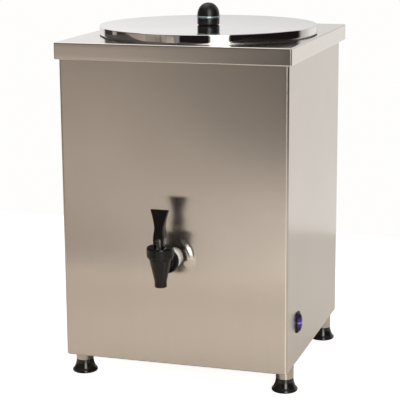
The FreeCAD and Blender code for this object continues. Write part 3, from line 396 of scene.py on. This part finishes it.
def softbox(name, place, aim, size, power, tint=(1, 1, 1)):
    light = bpy.data.lights.new(name, "AREA")
    light.shape = "RECTANGLE"
    light.size, light.size_y = size
    light.energy = power
    light.color = tint
    o = bpy.data.objects.new(name, light)
    bpy.context.scene.collection.objects.link(o)
    o.location = place
    o.rotation_euler = (Vector(aim) - Vector(place)).to_track_quat("-Z", "Y").to_euler()
    return o


softbox("key_top", (-0.5, 0.2, 2.2), (0, 0.1, 0.3), (1.4, 1.4), 8)

cam_data = bpy.data.cameras.new("camera")
cam_data.lens, cam_data.sensor_width = 125.027, 36.0
cam_data.clip_start, cam_data.clip_end = 0.1, 60.0
cam = bpy.data.objects.new("camera", cam_data)
bpy.context.scene.collection.objects.link(cam)
bpy.context.scene.camera = cam
yaw, pitch, roll = (math.radians(v) for v in (17.3734, 12.5381, -0.3932))
ahead = Vector((-math.sin(yaw) * math.cos(pitch), math.cos(yaw) * math.cos(pitch), -math.sin(pitch)))
right = Vector((math.cos(yaw), math.sin(yaw), 0))
above = right.cross(ahead)
r2 = math.cos(roll) * right + math.sin(roll) * above
u2 = -math.sin(roll) * right + math.cos(roll) * above
pose = Matrix((r2, u2, -ahead)).transposed().to_4x4()
pose.translation = PART @ Vector((634.567, -2064.199, 736.293))
cam.matrix_world = pose
bpy.context.scene.view_settings.view_transform = "Standard"

# ------------------------------------------------------------------ making pieces
def soften(points, steps=5, closed=True):
    """A profile with its marked corners rounded: each point is (a, b) or (a, b, radius)."""
    out, n = [], len(points)
    for i, p in enumerate(points):
        if len(p) == 2 or (not closed and i in (0, n - 1)):
            out.append((p[0], p[1]))
            continue
        here, u, v = Vector(p[:2]), Vector(points[i - 1][:2]), Vector(points[(i + 1) % n][:2])
        u, v = u - here, v - here
        lu, lv = u.length, v.length
        half = 0.5 * u.angle(v)
        if half > 1.53:
            out.append((p[0], p[1]))
            continue
        u, v = u / lu, v / lv
        reach = min(p[2] / math.tan(half), 0.49 * lu, 0.49 * lv)
        r = reach * math.tan(half)
        centre = here + (u + v).normalized() * (r / math.sin(half))
        a, b = here + u * reach - centre, here + v * reach - centre
        turn = a.angle(b)
        for k in range(steps + 1):
            f = k / steps
            w = (a * math.sin((1 - f) * turn) + b * math.sin(f * turn)) / math.sin(turn)
            out.append((centre.x + w.x, centre.y + w.y))
    return out


def lathe(bm, profile, seg=96, at=UP, closed=True):
    """Turns a profile of (radius, height) about the local Z."""
    rings = []
    for a, b in profile:
        if a < 1e-6:
            rings.append([bm.verts.new(at @ Vector((0, 0, b)))])
        else:
            rings.append([bm.verts.new(at @ Vector((a * math.cos(math.tau * k / seg), a * math.sin(math.tau * k / seg), b))) for k in range(seg)])
    for p, q in list(zip(rings, rings[1:])) + ([(rings[-1], rings[0])] if closed else []):
        for k in range(seg):
            j = (k + 1) % seg
            if len(p) == 1 and len(q) == 1:
                break
            if len(p) == 1:
                bm.faces.new((p[0], q[k], q[j]))
            elif len(q) == 1:
                bm.faces.new((p[k], p[j], q[0]))
            else:
                bm.faces.new((p[k], p[j], q[j], q[k]))


def skin(bm, rows, ring=True, cap=True):
    """Joins rows of vertices, each as long as the next, into a surface, and closes its two ends."""
    rows = [[bm.verts.new(p) for p in row] for row in rows]
    n = len(rows[0])
    for p, q in zip(rows, rows[1:]):
        for k in range(n if ring else n - 1):
            j = (k + 1) % n
            bm.faces.new((p[k], p[j], q[j], q[k]))
    if cap:
        bm.faces.new(rows[0])
        bm.faces.new(rows[-1])
    return rows


def box(bm, lo, hi):
    rows = [[Vector((x, y, z)) for x, y in ((lo[0], lo[1]), (hi[0], lo[1]), (hi[0], hi[1]), (lo[0], hi[1]))] for z in (lo[2], hi[2])]
    skin(bm, rows)


def solid(bm):
    bmesh.ops.remove_doubles(bm, verts=bm.verts, dist=1e-4)
    bmesh.ops.recalc_face_normals(bm, faces=bm.faces)
    me = bpy.data.meshes.new("work")
    bm.to_mesh(me)
    bm.free()
    return me


def join(kind, base, *tools):
    """Booleans of closed meshes; the tools go."""
    o = bpy.data.objects.new("work", base)
    bpy.context.scene.collection.objects.link(o)
    for tool in tools:
        t = bpy.data.objects.new("tool", tool)
        bpy.context.scene.collection.objects.link(t)
        m = o.modifiers.new("cut", "BOOLEAN")
        m.operation, m.solver, m.object = kind, "EXACT", t
        me = bpy.data.meshes.new_from_object(o.evaluated_get(bpy.context.evaluated_depsgraph_get()))
        o.modifiers.clear()
        o.data = me
        bpy.data.objects.remove(t)
    me = o.data
    bpy.data.objects.remove(o)
    return me


def piece(name, shape, mat, body, nodes, angle=32, uv=None, between=None):
    """Puts a shape into the part's frame as a finished piece. between = (body, body, start, end): when given, the piece
    is left without a body and its placement is baked into its mesh; what the tuple holds is not read.
    """
    me = shape if isinstance(shape, bpy.types.Mesh) else solid(shape)
    me.name = name
    if uv:
        layer = me.uv_layers.new(name="sheet")
        for f in me.polygons:
            for i in f.loop_indices:
                layer.data[i].uv = uv(me.vertices[me.loops[i].vertex_index].co, f.normal)
    me.transform(PART)
    for f in me.polygons:
        f.use_smooth = True
    me.set_sharp_from_angle(angle=math.radians(angle))
    me.materials.clear()
    me.materials.append(MATS[mat])
    o = bpy.data.objects.new(name, me)
    bpy.context.scene.collection.objects.link(o)
    even = o.modifiers.new("even", "WEIGHTED_NORMAL")
    even.mode, even.weight, even.keep_sharp = "FACE_AREA", 60, True
    smoothed = bpy.data.meshes.new_from_object(o.evaluated_get(bpy.context.evaluated_depsgraph_get()))
    o.modifiers.clear()
    o.data = smoothed
    smoothed.name = name
    if between:
        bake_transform(o)
    else:
        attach(o, body)
    if nodes:
        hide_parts(*nodes)
    return o


def at(x, y, z, turn=UP):
    return Matrix.Translation((x, y, z)) @ turn


def smooth(a, b, v):
    f = min(max((v - a) / (b - a), 0.0), 1.0)
    return f * f * (3 - 2 * f)


def steps(a, b, size):
    n = max(1, round(abs(b - a) / size))
    return [a + (b - a) * k / n for k in range(n + 1)]


# ------------------------------------------------------------------ casing


def arc(cx, cy, r, a0, a1, n):
    return [(cx + r * math.cos(math.radians(a)), cy + r * math.sin(math.radians(a)), math.cos(math.radians(a)), math.sin(math.radians(a)))
            for a in (a0 + (a1 - a0) * k / n for k in range(n + 1))]


plan = [(x, 171.3, 0, 1) for x in steps(-160, -173.2, 5)][:-1]
plan += arc(-173.2, 169.5, 1.8, 90, 180, 5)
plan += [(-HW, y, -1, 0) for y in steps(169.5, -168, 12)][1:-1]
plan += arc(-170.5, -168, 4.5, 180, 270, 9)
plan += [(x, -HD, 0, -1) for x in steps(-170.5, TAP_X - 52, 12)[1:] + steps(TAP_X - 52, TAP_X + 52, 1.4)[1:] + steps(TAP_X + 52, 170.5, 12)[1:-1]]
plan += arc(170.5, -168, 4.5, 270, 360, 9)
plan += [(HW, y, 1, 0) for y in steps(-168, 169.5, 12)][1:-1]
plan += arc(173.2, 169.5, 1.8, 0, 90, 5)
plan += [(x, 171.3, 0, 1) for x in steps(173.2, 160, 5)][1:]
levels = [(BASE, 1.5), (BASE + 0.25, 0.85), (BASE + 0.7, 0.4), (BASE + 1.3, 0.12), (BASE + 2.1, 0.0)]
levels += [(z, 0.0) for z in steps(BASE + 2.1, TAP_Z - 52, 12)[1:] + steps(TAP_Z - 52, TAP_Z + 52, 1.4)[1:] + steps(TAP_Z + 52, TOP - 1.2, 12)[1:]]


def swell(r):
    """Height of the low ring that the tightened shank has raised in the sheet."""
    return 2.95 * smooth(14, 28, r) * (1 - smooth(29, 39.5, r))


def sunk(x, y, z):
    """How far the sheet stands back from its plane: pressed in round the shank, and a little uneven all over."""
    edge = min(smooth(0, 26, HW - abs(x)) if y < -HD + 1 else smooth(0, 26, min(y + HD, 171 - y)), 1.0) * smooth(0, 30, z - BASE) * smooth(0, 24, TOP - 25 - z)
    d = 0.16 * edge * noise.noise(Vector((x * 0.008, y * 0.008, z * 0.0062)) + Vector((3.1, 7.7, 1.3)))
    if y < -HD + 1:
        r, a = math.hypot(x - TAP_X, z - TAP_Z), math.degrees(math.atan2(z - TAP_Z, x - TAP_X))
        d -= swell(r) * smooth(72, 30, a) * smooth(-30, 6, a)
    return d


outer, inner = [], []
for z, inset in levels:
    outer.append([])
    inner.append([])
    for x, y, nx, ny in plan:
        d = inset + sunk(x, y, z)
        outer[-1].append(Vector((x - nx * d, y - ny * d, z)))
        inner[-1].append(Vector((x - nx * (d + 1.0), y - ny * (d + 1.0), z)))
bm = bmesh.new()
a, b = skin(bm, outer, ring=False, cap=False), skin(bm, inner, ring=False, cap=False)
for r0, r1 in ((a[0], b[0]), (a[-1], b[-1]), ([r[0] for r in a], [r[0] for r in b]), ([r[-1] for r in a], [r[-1] for r in b])):
    for k in range(len(r0) - 1):
        bm.faces.new((r0[k], r0[k + 1], r1[k + 1], r1[k]))
hole = bmesh.new()
lathe(hole, [(0, -3), (10.5, -3), (10.5, 6), (0, 6)], 64, at(TAP_X, -HD, TAP_Z, FRONT), closed=False)
bmesh.ops.recalc_face_normals(hole, faces=hole.faces)
window = bmesh.new()
box(window, (HW - 4, SW_Y - 7, SW_Z - 14), (HW + 4, SW_Y + 7, SW_Z + 14))
casing = join("DIFFERENCE", solid(bm), solid(hole), solid(window))
piece("casing_sheet", casing, "brushed_steel", "cabinet", ["casing_wrap"])

# ------------------------------------------------------------------ top cover
CX, CF, CB, CZ, SHEET = HW + 5, -HD - 6, HD + 27, TOP - 25.4, 1.2


def rounded_rect(x0, x1, y0, y1, r, n=6, gap=14):
    r = max(r, 0.02)
    out = []
    for cx, cy, a0, nx, ny in ((x1 - r, y1 - r, 0, x0 + r, y1), (x0 + r, y1 - r, 90, x0, y0 + r), (x0 + r, y0 + r, 180, x1 - r, y0), (x1 - r, y0 + r, 270, x1, y1 - r)):
        turn = [(cx + r * math.cos(math.radians(a0 + 90 * k / n)), cy + r * math.sin(math.radians(a0 + 90 * k / n))) for k in range(n + 1)]
        run = [(turn[-1][0] + (nx - turn[-1][0]) * k / gap, turn[-1][1] + (ny - turn[-1][1]) * k / gap) for k in range(1, gap)]
        out += turn + run
    return out


def rim(inset, z, r=2.5):
    return [Vector((x, y, z)) for x, y in rounded_rect(-CX + inset, CX - inset, CF + inset, CB - inset, r - inset, gap=24)]


def mouth(r, z, like):
    return [Vector((WELL[0] + r * math.cos(a), WELL[1] + r * math.sin(a), z)) for a in (math.atan2(p.y - WELL[1], p.x - WELL[0]) for p in like)]


edge = rim(2.4, TOP)
loops = [mouth(156 + d, z, edge) for d, z in ((0.0, TOP - 7), (0.0, TOP - 2.6), (0.35, TOP - 1.3), (1.2, TOP - 0.4), (2.4, TOP))]
start = loops[-1]
for f in (0.25, 0.5, 0.75, 1.0):
    loops.append([p.lerp(q, f) for p, q in zip(start, edge)])
R = 2.4
for k in range(1, 7):
    a = math.radians(15 * k)
    loops.append(rim(R - R * math.sin(a), TOP - R + R * math.cos(a)))
loops += [rim(0, z) for z in steps(TOP - R, CZ + 1.6, 6)[1:]]
for k in range(1, 6):
    a = math.radians(18 * k)
    loops.append(rim(1.6 - 1.6 * math.cos(a), CZ + 1.6 - 1.6 * math.sin(a)))


def hem(grow, z):
    return [Vector((x, y, z)) for x, y in rounded_rect(-HW - grow, HW + grow, -HD - grow, HD + grow, 1.0, gap=24)]


loops += [hem(0.3, CZ), hem(0.3, CZ + SHEET)]
loops += [rim(1.6, CZ + SHEET, 2.5), rim(SHEET, CZ + SHEET + 0.6), rim(SHEET, TOP - SHEET - 1.4), rim(SHEET + 0.5, TOP - SHEET - 0.4), rim(SHEET + 1.4, TOP - SHEET)]
last = loops[-1]
under = mouth(156 + 2.4, TOP - SHEET, edge)
for f in (0.33, 0.67, 1.0):
    loops.append([p.lerp(q, f) for p, q in zip(last, under)])
loops += [mouth(156 + d, z, edge) for d, z in ((1.6, TOP - 1.9), (SHEET, TOP - 2.8), (SHEET, TOP - 7))]
bm = bmesh.new()
rows = skin(bm, loops + [loops[0]], cap=False)
piece("cover_sheet", bm, "cover_steel", "cabinet", ["top_cover"], 30,
      uv=lambda p, n: (p.z, p.y) if abs(n.x) > 0.75 else (p.x, p.y + p.z))

# ------------------------------------------------------------------ lid and its knob
LID_R, LID_Z, LID_EDGE, LID_TOP = 168.6, 522.6, 535.0, 533.9


# the lid is very slightly dished: its middle lies a millimetre below its rim
top = [(r, LID_TOP + 1.1 * (r / LID_R) ** 2) for r in (4.1, 12, 25, 45, 70, 95, 115, 130, 142, 150, 156, 160, 163.5, 165.8)]
low = [(r, z - 0.8) for r, z in reversed(top)]
profile = top + [(LID_R - 1.1, LID_EDGE - 0.05), (LID_R - 0.55, LID_EDGE - 0.2), (LID_R - 0.2, LID_EDGE - 0.5), (LID_R - 0.05, LID_EDGE - 0.9), (LID_R, LID_EDGE - 1.5),
                 (LID_R, LID_EDGE - 3.4), (LID_R, LID_Z + 1.4), (LID_R, LID_Z + 0.6),
                 (LID_R - 0.15, LID_Z + 0.15), (LID_R - 0.4, LID_Z), (LID_R - 0.65, LID_Z + 0.15), (LID_R - 0.8, LID_Z + 0.6), (LID_R - 0.8, LID_EDGE - 3.2),
                 (LID_R - 1.2, LID_EDGE - 1.9)] + low
bm = bmesh.new()
lathe(bm, profile, 256, at(*WELL, 0))
piece("lid_sheet", bm, "polished_steel", "lid", ["lid"], 40)

bm = bmesh.new()
lathe(bm, soften([(3.1, LID_TOP), (14.9, LID_TOP, 0.4), (16.6, LID_TOP + 0.9, 1.0), (17.4, LID_TOP + 2.6, 1.0), (17.4, LID_TOP + 3.4, 0.4), (16.9, LID_TOP + 3.9, 0.25), (16.9, LID_TOP + 4.4, 0.25),
                  (17.2, LID_TOP + 4.9, 0.6), (17.2, LID_TOP + 10.2, 0.8), (16.9, LID_TOP + 10.9, 0.2), (16.9, LID_TOP + 11.4), (3.1, LID_TOP + 11.4)]), 128, at(*WELL, 0))
piece("knob_collar", bm, "knob_black", "lid", ["knob_base"])
RING_Z = LID_TOP + 11.4
bm = bmesh.new()
lathe(bm, soften([(3.1, RING_Z), (17.6, RING_Z, 0.3), (18.2, RING_Z + 0.5, 0.5), (18.2, RING_Z + 2.3, 0.5), (17.6, RING_Z + 2.8, 0.3), (3.1, RING_Z + 2.8)]), 128, at(*WELL, 0))
piece("knob_band", bm, "band_steel", "lid", ["knob_ring"])
DOME_Z = RING_Z + 2.8
bm = bmesh.new()
dome = [(0, DOME_Z + 8), (3.1, DOME_Z + 8), (3.1, DOME_Z), (17.0, DOME_Z), (17.3, DOME_Z + 0.3)]
for k in range(1, 25):
    a = math.radians(90 * k / 24)
    dome.append((17.3 * math.cos(a) ** 0.9 if k < 24 else 0.0, DOME_Z + 0.3 + (568.4 - DOME_Z - 0.3) * math.sin(a) ** 0.98))
lathe(bm, dome, 128, at(*WELL, 0), closed=False)
piece("knob_crown", bm, "knob_black", "lid", ["knob_dome"])

# ------------------------------------------------------------------ tap
BARREL = at(TAP_X, TAP_Y, TAP_Z)
OUT = at(TAP_X, TAP_Y, TAP_Z, FRONT) @ Matrix.Rotation(math.pi, 4, "X")      # local Z back towards the panel
bm = bmesh.new()
lathe(bm, soften([(5.5, -32, 0.5), (8.5, -32, 0.5), (9.0, -31.2, 0.5), (9.0, -22.6, 0.3), (9.45, -22.0, 0.35), (9.45, -21.0, 0.5), (16.4, 9.6, 1.2), (16.4, 11.6, 0.3), (14, 11.6, 0.3),
                  (14, 23, 0.5), (10, 23, 0.5), (10, -8, 0.6), (5.5, -10.5, 0.6)]), 128, BARREL)
barrel = solid(bm)
bm = bmesh.new()
lathe(bm, soften([(0, 10.6), (10.5, 10.6), (10.5, 24.6, 0.5), (11.6, 25.2, 0.3), (14.9, 25.2, 0.25), (15.2, 25.9, 0.2), (15.9, 25.9, 0.2), (16.2, 25.2, 0.3), (17.9, 25.5, 0.8), (18.8, 26.8, 0.8),
                  (18.8, 29.6, 0.9), (17.6, 30.6, 0.5), (14.4, 30.6, 0.4), (13.5, 31.6, 0.4), (13.5, 39, 0.3), (10, 39), (10, 85.2, 0.3), (9.2, 86, 0.3), (0, 86)], closed=False),
      128, OUT, closed=False)
piece("tap_barrel", join("UNION", barrel, solid(bm)), "tap_black", "cabinet", ["tap_body"], 34)

bm = bmesh.new()
lathe(bm, soften([(14.15, 11.7, 0.2), (17.2, 11.7, 0.4), (19.3, 12.8, 0.8), (20.1, 14.6, 1.2), (20.1, 26.2, 0.8), (19.5, 27.8, 0.7), (18.1, 28.5, 0.6), (9.0, 28.5, 0.3), (8.6, 28.05, 0.3),
                  (2.4, 28.05), (2.4, 23.2), (14.15, 23.2, 0.3)]), 160, BARREL)
piece("tap_cap", bm, "tap_black", "cabinet", ["tap_bonnet"], 34)

# closing spring: its foot sits on the stem's collar, its top under the bonnet's roof
bm = bmesh.new()
coil, TURNS = [], 17.6 / 3.9
for k in range(int(TURNS * 28) + 1):
    a = math.radians(360.0 / 28) * k
    out = Vector((math.cos(a), math.sin(a), 0))
    mid = Vector((TAP_X, TAP_Y, TAP_Z + 4.8 + 3.9 * k / 28)) + out * 5.2
    coil.append([mid + out * 0.44 * math.cos(b) + Vector((0, 0, 0.44 * math.sin(b))) for b in (math.radians(36 * j) for j in range(10))])
skin(bm, coil)
piece("closing_spring", bm, "fastener_steel", None, ["tap_spring"], 60,
      between=("tap_valve", "cabinet", (TAP_X, TAP_Y, TAP_Z + 4.8), (TAP_X, TAP_Y, TAP_Z + 22.3)))

bm = bmesh.new()
lathe(bm, soften([(10.3, -1.0), (16.2, -1.0, 0.5), (16.8, -0.4, 0.5), (16.8, 4.3, 0.7), (16.1, 5.0, 0.6), (10.3, 5.0)]), 128, at(TAP_X, -HD, TAP_Z, FRONT))
piece("tap_seal", bm, "white_silicone", "cabinet", ["tap_washer"])

# lever: flared grip, narrowing to a waist and spreading again into the fork's two cam feet
WIDTHS = [(-7, 7.7), (0, 7.8), (4, 8.2), (9.8, 8.1), (20.6, 6.95), (29, 8.4), (36, 10.2), (43.5, 12.6), (47.8, 14.0)]
DEPTHS = [(-7, 10), (1, 10), (8, 9.2), (20, 7.2), (30, 5.2), (40, 3.6), (47.8, 2.6)]


def along(table, v):
    if v <= table[0][0]:
        return table[0][1]
    for i in range(len(table) - 1):
        (x0, y0), (x1, y1) = table[i], table[i + 1]
        if v <= x1:
            m0 = (y1 - table[i - 1][1]) / (x1 - table[i - 1][0]) if i else (y1 - y0) / (x1 - x0)
            m1 = (table[i + 2][1] - y0) / (table[i + 2][0] - x0) if i + 2 < len(table) else (y1 - y0) / (x1 - x0)
            f, h = (v - x0) / (x1 - x0), x1 - x0
            return (2 * f ** 3 - 3 * f ** 2 + 1) * y0 + (f ** 3 - 2 * f ** 2 + f) * h * m0 + (3 * f ** 2 - 2 * f ** 3) * y1 + (f ** 3 - f ** 2) * h * m1
    return table[-1][1]


rows = []
heights = [-7.0, -6.9, -6.6, -6.1, -5.4, -4.5, -3.4, -2.2] + steps(-1, 46.4, 1.5) + [46.9, 47.35, 47.65, 47.8]
for z in heights:
    w, d = along(WIDTHS, z), along(DEPTHS, z)
    if z < -2:
        d = 5 + math.sqrt(max(25 - (-2 - z) ** 2, 0.0))
    end = 0.0 if z < 46.9 else 1.2 - math.sqrt(max(1.2 ** 2 - (z - 46.6) ** 2, 0.0))
    low_end = 0.0 if z > -6.1 else 0.5 - math.sqrt(max(0.25 - (-6.5 - z) ** 2, 0.0)) if z < -6.5 else 0.0
    w, d = w - end - low_end, d - end
    r = min(1.5, 0.45 * d)
    rows.append([Vector((x, y, z)) for x, y in rounded_rect(-w, w, -d, d, r, 6, 5)])
bm = bmesh.new()
skin(bm, rows)
lever = solid(bm)
slot = bmesh.new()
arch = [(-4.2, -9), (4.2, -9), (3.9, 3.0)] + [(3.9 * math.cos(math.radians(a)), 3.0 + 4.2 * math.sin(math.radians(a))) for a in range(15, 166, 15)] + [(-3.9, 3.0)]
skin(slot, [[Vector((x, y, z)) for x, z in arch] for y in (-14, 14)])
bore = bmesh.new()
lathe(bore, [(0, -12), (1.36, -12), (1.36, 12), (0, 12)], 32, Matrix.Rotation(math.pi / 2, 4, "Y"), closed=False)
lever = join("DIFFERENCE", lever, solid(slot), solid(bore))
lever.transform(at(TAP_X, TAP_Y, PIN_Z))
piece("tap_grip", lever, "tap_black", "tap_lever", ["tap_lever"], 34)

# ------------------------------------------------------------------ feet
bm = bmesh.new()
for fx, fy in FEET.values():
    lathe(bm, soften([(4.5, 38.5), (13.3, 38.5, 0.2), (13.5, 38.2, 0.2), (13.5, 20.4, 0.3), (13.1, 20.0, 0.2), (12.5, 20.3, 0.2), (12.5, 37.5, 0.4), (4.5, 37.5)]), 96, at(fx, fy, 0))
piece("foot_tubes", bm, "tube_steel", "cabinet", ["foot_sleeves"])
for name, (fx, fy) in FEET.items():
    bm = bmesh.new()
    lathe(bm, soften([(0, 8), (4.02, 8), (4.02, 32), (12.2, 32), (12.2, 19.85), (13.25, 19.85, 0.25), (13.4, 18.8, 0.6), (14.15, 14.4, 8), (15.2, 10.8, 8), (16.6, 7.6, 4), (18.0, 5.4, 1.6),
                      (19.4, 4.1, 0.9), (19.8, 2.7, 0.8), (19.65, 1.4, 0.6), (18.9, 0.45, 0.5), (17.4, 0.0, 0.4), (0, 0)], closed=False), 128, at(fx, fy, 0), closed=False)
    piece("foot_rubber_" + name, bm, "pad_black", "foot_" + name, ["foot_pad_" + name])

# ------------------------------------------------------------------ switch
def oval(w, h, z, n=64, power=3.2):
    out = []
    for k in range(n):
        a = math.tau * k / n
        c, s = math.cos(a), math.sin(a)
        out.append(Vector((z, w * math.copysign(abs(c) ** (2 / power), c), h * math.copysign(abs(s) ** (2 / power), s))))
    return out


SIDE = at(HW, SW_Y, SW_Z)
bm = bmesh.new()
frame_rows = [[Vector((x, y, z)) for y, z in rounded_rect(-w, w, -h, h, r, 6, 4)] for x, w, h, r in (
    (0.0, 8.5, 15.5, 1.6), (1.3, 8.5, 15.5, 1.6), (1.8, 8.3, 15.3, 1.5), (2.1, 7.9, 14.9, 1.3), (2.2, 7.5, 14.5, 1.2), (2.2, 6.2, 13.2, 1.0), (1.9, 6.0, 12.9, 0.9), (-4.5, 5.85, 12.7, 0.8),
    (-4.8, 5.8, 12.6, 0.8))]
skin(bm, frame_rows, cap=False)
back = [[Vector((x, y, z)) for y, z in rounded_rect(-6.8, 6.8, -13.9, 13.9, 0.8, 6, 4)] for x in (-26.0, -25.7, 0.0)]
skin(bm, [frame_rows[-1]] + [[Vector((-5.2, p.y * 0.98, p.z * 0.98)) for p in frame_rows[-1]]], cap=False)
bm.faces.new([bm.verts.new(Vector((-5.2, p.y * 0.98, p.z * 0.98))) for p in frame_rows[-1]])
skin(bm, back + [frame_rows[0]], cap=False)
bm.faces.new([bm.verts.new(p) for p in back[0]])
bmesh.ops.transform(bm, matrix=SIDE, verts=bm.verts)
piece("switch_frame", bm, "switch_black", "cabinet", ["switch_housing"])

# splash boot: a clear domed skin over the rocker
bm = bmesh.new()
rows = [oval(8.1, 15.1, 2.2, power=5.0), oval(8.1, 15.1, 2.7, power=5.0), oval(7.9, 14.9, 2.95, power=5.0), oval(7.5, 14.4, 3.0, power=4.5)]
N = 12
for k in range(1, N):
    a = math.radians(90 * k / (N - 0.5))
    rows.append(oval(7.1 * math.cos(a) ** 0.62, 14.0 * math.cos(a) ** 0.95, 3.0 + 4.3 * math.sin(a) ** 0.95, power=2.6))
rows.append(oval(0.9, 0.5, 7.32))
inner_rows = [[Vector((2.2 + (p.x - 2.2) * 0.88, p.y * 0.90, p.z * 0.94)) for p in row] for row in rows]
top_rows = skin(bm, rows, cap=False)
bm.faces.new(top_rows[-1])
low_rows = skin(bm, inner_rows, cap=False)
bm.faces.new(low_rows[-1])
for k in range(64):
    j = (k + 1) % 64
    bm.faces.new((top_rows[0][k], top_rows[0][j], low_rows[0][j], low_rows[0][k]))
bmesh.ops.transform(bm, matrix=SIDE, verts=bm.verts)
piece("switch_cap", bm, "boot_clear", "cabinet", ["switch_boot"], 50)
